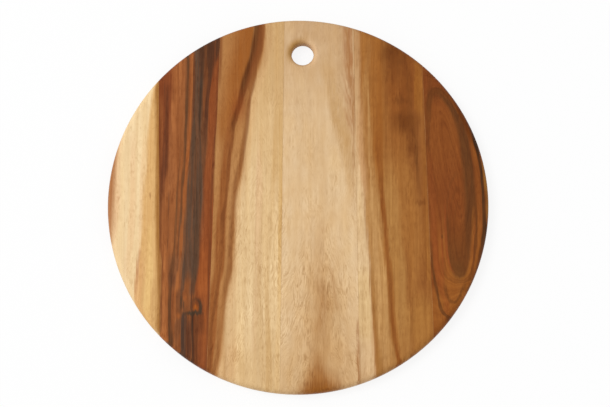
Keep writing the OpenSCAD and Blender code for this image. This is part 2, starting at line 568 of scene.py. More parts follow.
        # strands and flecks come in clusters and may thin out towards the hole
        found = self.sway(self.place, figure["clusters"])
        clusters = ramp(tree, found, *fibre["clusterNoise"], *fibre["clusterShare"])
        low, high, share = figure["thinning"]
        clusters = times(tree, clusters, ramp(tree, self.along, low, high, 1.0, share))
        for name in ("strands", "flecks"):
            amount, lengths = figure[name]
            dashes = fade(tree, self.combed(lengths), *fibre["dashNoise"], *fibre["dashTone"])
            flecks = times(tree, dashes, clusters)
            self.tint(flecks, amount)
        amount, lengths = figure["pores"]
        pits = fade(tree, self.combed(lengths), *fibre["poreNoise"])
        self.tint(pits, -amount)
        facing = split(tree, addNode(tree, "ShaderNodeNewGeometry").outputs["Normal"])
        endGrain = fade(tree, calc(tree, "ABSOLUTE", facing["Y"]), *fibre["endFacing"])
        self.tint(endGrain, -figure["endGrain"])  # end grain takes up more oil
        height = calc(tree, "MULTIPLY_ADD", pits, -fibre["poreDepth"], flecks)
        spread = fibre["satinSpread"]
        satin = ramp(tree, flecks, *fibre["satinNoise"], rough - spread, rough + spread)
        roughness = calc(tree, "MULTIPLY_ADD", pits, fibre["poreRough"], satin)
        satinSurface(tree, self.colour, roughness, height)
        return self.material


def makeWood(look):
    wood = WoodTree(look)
    if "rings" in look:
        wood.bendGrain(*look["rings"])
    for kind, tone, *settings in look["layers"]:
        getattr(wood, kind)(srgb(look["tones"][tone]), *settings)
    return wood.finish(look["figure"], look["rough"])


# strength of each pattern, then its lengths in mm across, along and through the board
paleFigure = dict(
    bands=(0.032, (5.0, 260.0, 20.0)),
    lines=(0.028, (1.6, 110.0, 5.0)),
    blush=(0.03, (5.0, 120.0, 14.0)),
    curl=(0.012, (4.5, 8.0, 8.0)),
    lean=(0.12, (14.0, 30.0, 10.0)),  # slope of the fine fibre
    fan=(0.0, 0.0, 180.0, -180.0),  # x that it fans out from, slope per mm, y where it starts and is full
    clusters=(9.0, 24.0, 12.0),
    thinning=(-180.0, 180.0, 1.0),  # y where flecks are full, y where they are thinnest, share left there
    strands=(0.025, (1.4, 20.0, 3.0)),
    flecks=(0.045, (1.1, 5.0, 2.5)),
    pores=(0.1, (0.9, 3.2, 1.2)),
    endGrain=0.08,
)
brownFigure = dict(
    paleFigure,
    bands=(0.05, (5.0, 240.0, 16.0)),
    lines=(0.045, (1.5, 130.0, 4.0)),
    blush=(0.03, (6.0, 90.0, 12.0)),
    curl=(0.028, (5.0, 8.0, 9.0)),
    lean=(0.08, (14.0, 40.0, 10.0)),
    clusters=(9.0, 30.0, 12.0),
    strands=(0.045, (1.3, 18.0, 3.0)),
    flecks=(0.05, (1.1, 6.0, 2.5)),
    pores=(0.12, (0.8, 7.0, 1.0)),
    endGrain=0.18,
)

# staves from left to right; a layer is a kind, a tone and what that method of WoodTree takes, and lies over
# the layers before it

# pale edge stave: cream sapwood, a straw strip by the joint and heartwood on the rim
sapwoodStave = dict(
    node="sapwood_edge_stave",
    slot="pale_sapwood",
    seed=0.0,
    ringLean=-0.5,
    waves=[(0.4, (30.0, 120.0, 30.0)), (0.2, (4.0, 30.0, 6.0)), (0.3, (0.9, 40.0, 3.0))],
    ragged=(1.0, (1.2, 15.0, 3.0)),
    breaks=(0.35, (1.4, 60.0, 4.0)),
    rough=0.5,
    figure=paleFigure,
    tones=dict(
        ground=(240, 208, 159), warm=(233, 190, 142), straw=(222, 175, 114), brightStraw=(235, 194, 128),
        orangeStraw=(226, 175, 119), redLine=(196, 140, 96), olive=(168, 115, 58), rimHeart=(176, 119, 76),
        knot=(150, 98, 55),
    ),
)
sapwoodStave["layers"] = [
    ("streak", "warm", (2, 2), [
        (60, -152, 1.5, 0.3), (20, -152, 1.5, 0.6), (-30, -153, 2, 0.5), (-60, -156, 2, 0.3),
    ]),
    ("streak", "warm", (2, 2), [
        (60, -142, 1, 0.2), (20, -143.5, 1.2, 0.5), (-10, -143.5, 1.2, 0.5), (-40, -145, 1, 0.2),
    ]),
    ("side", "straw", False, 4.5, [
        (115, -133.5), (100, -135.3), (80, -137.3), (60, -139), (40, -139.8), (20, -142), (0, -143.2),
        (-20, -143.2), (-30, -143.5), (-40, -144.5), (-60, -146), (-75, -147), (-90, -148.5), (-110, -150),
    ]),
    ("streak", "brightStraw", (2, 2), [
        (-14, -135.5, 1, 0), (-27, -135.8, 1.5, 0.5), (-40, -136, 1.5, 0.5), (-60, -135.5, 2, 0.8),
        (-90, -136.5, 2, 0.8), (-105, -137, 1.5, 0.4),
    ]),
    ("streak", "orangeStraw", (2, 2), [
        (-40, -144, 1, 0), (-55, -144, 2, 0.6), (-75, -145, 2.5, 0.8), (-95, -146, 2.5, 0.6),
    ]),
    ("streak", "redLine", (1.8, 2), [
        (-36, -144.5, 0.2, 0), (-44, -145.3, 0.4, 0.55), (-57, -146.3, 0.4, 0.7), (-70, -146.8, 0.3, 0.4),
        (-80, -147.5, 0.2, 0.3), (-90, -148, 0.2, 0),
    ]),
    ("side", "olive", False, 4.5, [
        (115, -131.8), (100, -132), (80, -131.6), (60, -131.3), (40, -130.9), (20, -131), (0, -131.4),
        (-20, -131.1), (-40, -130.2), (-60, -129.4), (-80, -127.9), (-100, -127.6), (-115, -127.8),
    ]),
    ("streak", "olive", (3, 1.5), [
        (-62, -129.5, 0.6, 0), (-76, -129.8, 1, 0.25), (-95, -130, 1.2, 0.3), (-115, -129.8, 1.2, 0.3),
    ]),
    ("side", "warm", True, 6, [
        (90, -162, 0), (70, -163, 0.5), (50, -164, 0.9), (20, -164, 1), (-20, -165.5, 0.8),
        (-40, -168.5, 0.5), (-55, -170, 0),
    ]),
    ("side", "rimHeart", True, 6.5, [
        (75, -166.6, 0), (58, -167, 0.5), (45, -167.3, 0.9), (32, -167.8, 1), (18, -168.4, 1), (0, -169, 1),
        (-20, -169.6, 0.9), (-35, -171, 0.6), (-46, -172.5, 0),
    ]),
    ("blotch", "knot", (-136.7, 7.5), (0.8, 2), 0.7, 0.6),
    ("blotch", "redLine", (-165.3, 5.5), (0.9, 1.8), 0.7, 0.45),
]

# dark stave: red-brown heartwood with near-black streaks round a knot
darkStave = dict(
    node="dark_heart_stave",
    slot="dark_heartwood",
    seed=3.7,
    ringLean=0.25,
    waves=[(0.2, (20.0, 90.0, 20.0)), (0.2, (4.0, 30.0, 6.0)), (0.2, (0.9, 50.0, 3.0))],
    ragged=(0.5, (1.2, 15.0, 3.0)),
    breaks=(0.35, (1.3, 45.0, 4.0)),
    rough=0.5,
    figure=dict(
        brownFigure,
        bands=(0.055, (3.2, 160.0, 12.0)),
        lines=(0.06, (1.1, 90.0, 4.0)),
        strands=(0.078, (1.2, 22.0, 3.0)),
        blush=(0.05, (6.0, 90.0, 12.0)),
        flecks=(0.06, (1.0, 6.0, 2.5)),
    ),
    tones=dict(
        ground=(141, 83, 46), redBrown=(133, 69, 36), orangeBrown=(158, 94, 51), umber=(92, 54, 35),
        umberMix=(107, 68, 44), edgeLine=(102, 57, 32), darkLine=(84, 58, 38), orange=(164, 92, 44),
        nearBlack=(92, 67, 50), topDark=(84, 52, 34), fork=(136, 77, 39), inner=(122, 80, 53),
        inkLine=(62, 48, 37), brown=(128, 74, 41), rust=(142, 76, 39), lightRust=(162, 88, 42),
        knotRim=(72, 55, 40), knotGlow=(152, 82, 36), knotEye=(180, 97, 36), plum=(80, 57, 44),
        ink=(58, 47, 37), fleck=(182, 112, 62), sapEdge=(176, 122, 68), greyBrown=(116, 80, 55),
    ),
)
darkStave["layers"] = [
    ("side", "redBrown", True, 6, [
        (125, -114.5, 1), (105, -115.5, 1), (80, -118.5, 1), (60, -119.2, 1), (20, -121, 0.8),
        (-10, -123.5, 0.3), (-30, -126, 0),
    ]),
    ("streak", "orangeBrown", (5, 4), [
        (130, -110.5, 4.2, 0.8), (100, -110.9, 3.7, 0.9), (75, -111.3, 4, 0.9), (55, -111.5, 4.2, 0.9),
        (38, -112, 4.6, 0.9), (20, -115, 5.2, 0.85), (0, -117.5, 7, 0.95), (-30, -119.5, 6.5, 0.9),
        (-60, -121.5, 4.5, 0.8), (-90, -122.5, 3.5, 1), (-120, -122, 3.5, 1),
    ]),
    ("streak", "orangeBrown", (1, 1.4), [
        (112, -127, 0.6, 0), (95, -126.9, 0.8, 0.45), (75, -126.4, 1, 0.6), (58, -125.8, 0.8, 0.6),
        (42, -125.6, 0.6, 0.4), (25, -125.5, 0.4, 0),
    ]),
    ("streak", "fleck", (1.2, 1.2), [
        (-66, -123.3, 0.4, 0), (-75, -123.4, 0.6, 0.7), (-84, -122.7, 1.2, 0.75), (-92, -122.6, 1.2, 0.8),
        (-100, -122.2, 1.4, 0.75), (-107, -122.2, 2, 0.75), (-118, -122.2, 2, 0.8), (-130, -121.5, 2, 0.6),
    ]),
    ("streak", "fleck", (1.5, 1.5), [
        (105, -115.5, 0.3, 0), (95, -115.5, 0.7, 0.6), (80, -115.5, 0.8, 0.7), (70, -115.5, 0.6, 0.5),
        (58, -115.8, 0.3, 0),
    ]),
    ("streak", "fleck", (1.5, 1.5), [
        (145, -108.3, 0.5, 0.3), (135, -108.5, 0.8, 0.7), (122, -108.5, 0.8, 0.7), (110, -108.7, 0.5, 0.1),
    ]),
    ("side", "rust", False, 3, [
        (155, -79.5), (130, -80.5), (100, -83), (60, -83), (50, -84), (40, -85), (30, -86.5), (10, -88),
        (0, -88.4), (-20, -89.5), (-40, -90.6), (-60, -92.5), (-80, -93), (-100, -92), (-120, -92),
        (-150, -92),
    ]),
    ("streak", "umberMix", (1.5, 2), [
        (150, -85, 4, 0.8), (120, -84, 3.5, 0.7), (100, -85.5, 2.5, 0.8), (80, -86.4, 3, 1),
        (65, -87.2, 2.8, 1), (50, -87.5, 2.2, 0.9), (40, -88, 1.8, 0.85), (25, -88.7, 1.5, 0.7),
        (10, -88.3, 1.5, 0.6), (-5, -88.3, 1.5, 0.55), (-25, -89.3, 1.5, 0.5), (-40, -90.3, 1, 0.25),
        (-50, -91, 0.8, 0),
    ]),
    ("streak", "umber", (2.2, 3), [
        (112, -121, 0.8, 0.3), (90, -122.1, 0.7, 0.65), (60, -122.6, 0.9, 0.75), (40, -122.8, 1.2, 0.8),
        (20, -124.5, 1.4, 0.5), (0, -125.5, 0.8, 0.25), (-20, -126, 0.8, 0),
    ]),
    ("streak", "redBrown", (0.7, 0.7), [
        (104, -123.2, 0.2, 0), (86, -123.5, 0.25, 0.6), (60, -124.1, 0.25, 0.6), (42, -124.5, 0.25, 0.5),
        (22, -124.8, 0.2, 0),
    ]),
    ("streak", "umber", (0.9, 0.9), [
        (120, -124, 0.3, 0), (108, -124, 0.4, 0.5), (98, -124, 0.3, 0.3), (88, -124, 0.3, 0),
    ]),
    ("streak", "umber", (0.9, 0.9), [
        (18, -119.1, 0.2, 0), (8, -119.1, 0.25, 0.5), (-5, -119.1, 0.25, 0.6), (-20, -119, 0.25, 0.3),
        (-35, -119.2, 0.25, 0.6), (-48, -119.3, 0.2, 0),
    ]),
    ("streak", "edgeLine", (1.2, 1.2), [
        (90, -128.2, 0.4, 0.2), (60, -127.2, 0.4, 0.5), (0, -126.4, 0.7, 0.6), (-30, -126.4, 0.7, 0.6),
        (-50, -125.6, 0.6, 0.5), (-60, -124.7, 0.6, 0.55), (-75, -124.7, 0.6, 0.6), (-90, -125, 0.5, 0.6),
        (-110, -125.2, 0.5, 0.55),
    ]),
    ("streak", "sapEdge", (1, 0.9), [
        (-36, -127, 0.2, 0), (-48, -126.8, 0.8, 0.7), (-60, -126.6, 1, 0.85), (-75, -126.4, 0.9, 0.85),
        (-90, -126.2, 0.7, 0.7), (-105, -126, 0.5, 0.5), (-120, -125.8, 0.3, 0.3),
    ]),
    ("streak", "greyBrown", (3, 2), [
        (12, -104, 1, 0), (-10, -105, 2, 0.55), (-25, -105.5, 2.2, 0.65), (-42, -106, 2, 0.6),
        (-58, -107, 1.5, 0.45), (-72, -108, 1, 0.2), (-84, -108, 1, 0),
    ]),
    ("streak", "greyBrown", (3, 3), [
        (-40, -114, 2, 0), (-55, -114, 3.5, 0.4), (-70, -114, 3.5, 0.4), (-85, -114, 2, 0),
    ]),
    ("streak", "darkLine", (1.8, 1.2), [
        (145, -101.6, 0.4, 0.85), (130, -101.6, 0.4, 0.8), (115, -101.9, 0.4, 0.75), (95, -102.6, 0.4, 0.8),
        (75, -103.2, 0.3, 0.8), (55, -103.9, 0.3, 0.75), (40, -104.9, 0.25, 0.6), (20, -106.1, 0.25, 0.7),
        (5, -106.8, 0.25, 0.55), (-20, -108.3, 0.25, 0.45), (-40, -109.8, 0.25, 0.45), (-54, -110, 0.2, 0),
    ]),
    ("streak", "darkLine", (1.3, 1.3), [
        (62, -108.4, 0.2, 0.2), (45, -108.9, 0.2, 0.3), (30, -109.8, 0.2, 0.35), (15, -110.7, 0.25, 0.5),
        (0, -111.5, 0.3, 0.65), (-20, -112.4, 0.4, 0.55), (-40, -113, 0.5, 0.55), (-50, -114, 0.8, 0.5),
        (-60, -115, 1, 0.5), (-70, -116, 1.2, 0.6), (-80, -116.5, 1, 0.65), (-90, -117.1, 1, 0.75),
        (-100, -116.7, 1, 0.8), (-110, -116.3, 1.1, 0.8), (-128, -115.8, 1.6, 0.9),
    ]),
    ("streak", "orange", (1.2, 1.2), [
        (142, -98.2, 0.8, 0.55), (130, -98.2, 0.9, 0.5), (115, -98.2, 1, 0.45), (95, -98.8, 1, 0.5),
        (75, -99.3, 0.8, 0.7), (58, -100.6, 0.9, 0.5), (40, -101.9, 0.8, 0.7), (20, -103.4, 0.9, 0.5),
        (0, -104.8, 0.9, 0.6), (-20, -106, 0.8, 0.7), (-40, -107.4, 0.8, 0.8), (-60, -109, 0.6, 0.4),
        (-75, -110, 1, 0.5), (-88, -112, 1, 0.3), (-100, -112.6, 1, 0.2), (-115, -113, 1, 0.15),
        (-132, -112.5, 1, 0.15),
    ]),
    ("streak", "umberMix", (1.5, 1.5), [
        (-76, -108.5, 0.4, 0), (-83, -108.3, 1.2, 0.7), (-90, -108.8, 1.2, 0.6), (-97, -108.6, 1.2, 0.5),
        (-106, -108, 1.8, 0.6), (-114, -109.8, 2.4, 0.6), (-128, -110, 1, 0.3),
    ]),
    ("streak", "fleck", (1.2, 1.2), [
        (-58, -109.2, 0.3, 0), (-68, -109.8, 0.6, 0.7), (-76, -110, 0.6, 0.7), (-86, -110.2, 0.4, 0),
    ]),
    ("streak", "nearBlack", (1.8, 3.2), [
        (150, -92, 3.4, 1), (140, -92.3, 3.1, 1), (120, -92.2, 3.1, 1), (100, -93.3, 2.9, 1),
        (80, -93.8, 3.1, 1), (60, -94.4, 3.5, 1), (40, -95.1, 4.7, 1), (30, -94.5, 5.2, 1),
        (20, -94.6, 5.9, 1), (0, -95.3, 6.2, 1), (-20, -96.4, 6, 1), (-40, -97.3, 5.7, 1),
        (-56, -98.2, 6.1, 0.95), (-64, -99.2, 5.7, 0.85), (-72, -100, 5, 0.35), (-80, -100.4, 4.5, 0),
    ]),
    ("streak", "nearBlack", (1.8, 2), [
        (-48, -94.5, 1.5, 0.5), (-60, -94.5, 2, 1), (-70, -94.8, 1.8, 1), (-78, -96, 1.7, 0.9),
        (-84, -96.4, 1.7, 0.5), (-90, -96.5, 1, 0),
    ]),
    ("streak", "nearBlack", (1.4, 1.8), [
        (-52, -103.6, 0.8, 0.5), (-64, -104.3, 1, 0.95), (-74, -105, 0.9, 0.95), (-84, -106, 0.6, 0.5),
        (-92, -106.5, 0.4, 0),
    ]),
    ("streak", "inner", (1, 1), [
        (122, -93, 0.3, 0), (108, -93.3, 0.4, 0.1), (80, -93.6, 0.4, 0.12), (64, -94, 0.3, 0.1),
        (50, -94.2, 0.3, 0.1), (30, -94.4, 0.4, 0.5), (10, -94.8, 0.3, 0.45), (-5, -95, 0.3, 0),
    ]),
    ("streak", "edgeLine", (1, 1), [
        (145, -96, 0.5, 0.5), (125, -95.8, 0.6, 0.7), (105, -96.2, 0.6, 0.7), (88, -96.8, 0.6, 0.6),
        (72, -97.6, 0.5, 0.3), (60, -98, 0.4, 0),
    ]),
    ("streak", "inkLine", (1.2, 1.2), [
        (145, -88.5, 0.5, 0.5), (110, -89.5, 0.5, 0.7), (80, -90.5, 0.4, 0.6), (55, -91, 0.4, 0.1),
    ]),
    ("streak", "inkLine", (1.2, 1.2), [
        (18, -92.6, 0.3, 0), (0, -92.9, 0.5, 0.25), (-20, -93.5, 0.6, 0.25), (-40, -94.5, 0.6, 0.35),
        (-60, -95.5, 0.6, 0.4), (-70, -96, 0.4, 0),
    ]),
    ("streak", "fork", (1.6, 1.6), [
        (-58, -99.6, 0.3, 0), (-66, -100, 0.8, 0.25), (-76, -100.8, 1, 0.35), (-88, -101.3, 1.3, 0.45),
        (-98, -101.3, 1.5, 0.4),
    ]),
    ("streak", "umber", (1.3, 1.3), [
        (152, -82, 1.2, 0.9), (120, -81.8, 1.3, 0.95), (100, -83.6, 1.1, 0.9), (80, -84.5, 0.9, 0.8),
        (65, -85.5, 0.9, 0.4), (50, -86, 0.7, 0),
    ]),
    ("streak", "topDark", (3, 4), [
        (108, -87, 3, 0), (120, -85.5, 4.5, 0.5), (132, -84.5, 6, 0.75), (142, -83, 8, 0.9),
        (155, -82, 9, 1),
    ]),
    ("streak", "brown", (1.1, 1.1), [
        (150, -85.5, 0.6, 0.2), (135, -85, 0.8, 0.35), (120, -84.8, 1, 0.65), (100, -86.2, 1, 0.8),
        (85, -86.8, 0.8, 0.5), (70, -87.4, 0.5, 0.1), (60, -88, 0.5, 0),
    ]),
    ("streak", "lightRust", (2.5, 2.5), [
        (-25, -84, 2, 0), (-45, -85.5, 2.4, 0.45), (-60, -86.2, 2.6, 0.65), (-75, -87, 2.8, 0.7),
        (-90, -86, 2, 0.4), (-100, -85, 1, 0.6), (-120, -84.7, 1, 0.6), (-140, -85, 0.8, 0.3),
    ]),
    ("streak", "edgeLine", (1.6, 0.8), [
        (155, -73, 0.3, 0.4), (110, -74.8, 0.4, 0.4), (75, -76, 0.4, 0.5), (50, -77.4, 0.5, 0.6),
        (20, -78.6, 0.6, 0.6), (0, -79.4, 0.5, 0.5), (-20, -79.8, 0.5, 0.5), (-60, -80.9, 0.6, 0.6),
        (-100, -81.8, 0.6, 0.55), (-150, -83, 0.7, 0.6),
    ]),
    ("streak", "sapEdge", (0.9, 1), [
        (78, -74.8, 0.2, 0), (62, -75.4, 0.5, 0.7), (48, -75.9, 0.7, 0.9), (35, -76.4, 0.7, 0.9),
        (18, -77, 0.4, 0.6), (5, -77.4, 0.2, 0.2), (-5, -77.7, 0.2, 0),
    ]),
    ("streak", "plum", (1.3, 1.3), [
        (-100, -103.7, 1, 0.3), (-105, -103.7, 1.7, 1), (-125, -103.7, 1.9, 1), (-148, -103.5, 2.4, 1),
    ]),
    ("streak", "umber", (1.2, 1.2), [
        (-102, -99.3, 1, 0.45), (-110, -99.3, 1.5, 0.85), (-125, -99.3, 1.7, 1), (-148, -99.3, 1.8, 1),
    ]),
    ("streak", "fork", (1, 1), [
        (-101, -99.2, 0.6, 0.2), (-104, -98.6, 0.8, 0.55), (-108, -98.8, 0.8, 0.3), (-114, -99.2, 0.7, 0),
    ]),
    ("streak", "ink", (0.9, 0.9), [
        (-100, -96.2, 0.4, 0.6), (-108, -95.8, 0.7, 1), (-120, -95.5, 0.8, 1), (-148, -95, 0.9, 1),
    ]),
    ("streak", "edgeLine", (1.4, 2), [
        (-102, -93, 1, 0.4), (-106, -93, 1.8, 0.85), (-125, -92.8, 1.8, 0.8), (-148, -92.8, 1.8, 0.8),
    ]),
    ("streak", "darkLine", (1, 1), [
        (-82, -105.8, 0.4, 0.3), (-90, -106.8, 0.5, 0.8), (-97, -107, 0.4, 0.6), (-102, -107, 0.3, 0.1),
    ]),
    ("streak", "darkLine", (0.9, 0.9), [
        (-88, -104, 0.3, 0), (-92, -104, 0.4, 0.7), (-96, -104, 0.3, 0.5), (-100, -104, 0.3, 0),
    ]),
    ("streak", "umber", (1, 1), [(-78, -97.2, 0.5, 0.5), (-88, -97, 0.5, 0.8), (-100, -97, 0.5, 0.8)]),
    ("streak", "fleck", (0.8, 0.8), [
        (-33, -121.6, 0.5, 0), (-45, -121.5, 0.8, 0.5), (-58, -122, 0.6, 0.8), (-66, -121.5, 0.6, 0.4),
        (-72, -121.5, 0.6, 0.7), (-80, -121, 0.4, 0),
    ]),
    ("streak", "edgeLine", (3, 3), [
        (-96, -88, 1, 0), (-104, -88.3, 1.5, 0.7), (-112, -88, 1.5, 0.7), (-125, -88, 1.2, 0.2),
        (-148, -88, 1, 0.1),
    ]),
    ("blotch", "umber", (-115.5, -70), (2.6, 6), 0.8, 0.45),
    ("blotch", "lightRust", (-103.5, -85.5), (1.9, 3.6), 0.8, 0.85),
    ("blotch", "orange", (-108.8, -103.5), (1.8, 2.6), 0.8, 0.6),
    ("ring", "knotRim", (-102.5, -91), (3.6, 7), 0.6, 0.4, 0.1),
    ("blotch", "umber", (-91.5, -95), (5, 6.5), 0.8, 0.6),
    ("blotch", "knotGlow", (-92.8, -95.5), (2.2, 4.2), 0.8, 0.5),
    ("ring", "knotRim", (-92.8, -95), (4.8, 6.6), 0.42, 0.15, 0.5),
    ("streak", "knotRim", (1.2, 1.2), [
        (-86, -92, 0.3, 0), (-90, -90.2, 0.5, 0.5), (-95, -88.7, 0.7, 0.8), (-100, -88.9, 0.8, 0.9),
        (-103.5, -89.5, 0.5, 0),
    ]),
    ("blotch", "knotEye", (-92.9, -96.6), (1.6, 2.3), 0.9, 0.8),
    ("blotch", "knotRim", (-95.8, -101.6), (7.8, 1.8), 0.7, 0.95, 2),
]

# streaked stave: pale sapwood on its right, heartwood with a slanting dark streak on its left
streakedStave = dict(
    node="streaked_stave",
    slot="streaked_wood",
    seed=2.3,
    ringLean=0.3,
    waves=[(0.3, (24.0, 110.0, 24.0)), (0.15, (4.0, 30.0, 6.0)), (0.12, (0.9, 40.0, 3.0))],
    ragged=(0.5, (1.4, 12.0, 3.0)),
    breaks=(0.2, (1.4, 60.0, 4.0)),
    rough=0.5,
    figure=dict(
        paleFigure,
        bands=(0.038, (5.0, 260.0, 20.0)),
        lean=(0.16, (9.0, 15.0, 10.0)),
        fan=(-28.0, 0.005, 20.0, -60.0),
        clusters=(12.0, 32.0, 12.0),
        thinning=(-60.0, 60.0, 0.5),
        strands=(0.065, (1.0, 12.0, 3.0)),
        flecks=(0.075, (0.95, 5.5, 2.5)),
        pores=(0.12, (0.9, 3.2, 1.2)),
    ),
    tones=dict(
        ground=(228, 193, 143), straw=(208, 165, 106), pinkSap=(221, 180, 136), dullSap=(206, 166, 113),
        topSap=(206, 165, 112), edgeSap=(214, 171, 120), heart=(175, 120, 69), tanHeart=(184, 130, 78),
        lightHeart=(190, 138, 85), orangeHeart=(156, 92, 40), darkStreak=(96, 52, 24),
        brownStreak=(148, 86, 42), streakEdge=(120, 68, 34), brownHeart=(132, 74, 37),
        boundary=(133, 78, 39), shadeSap=(188, 143, 93), redHeart=(152, 76, 34),
    ),
)
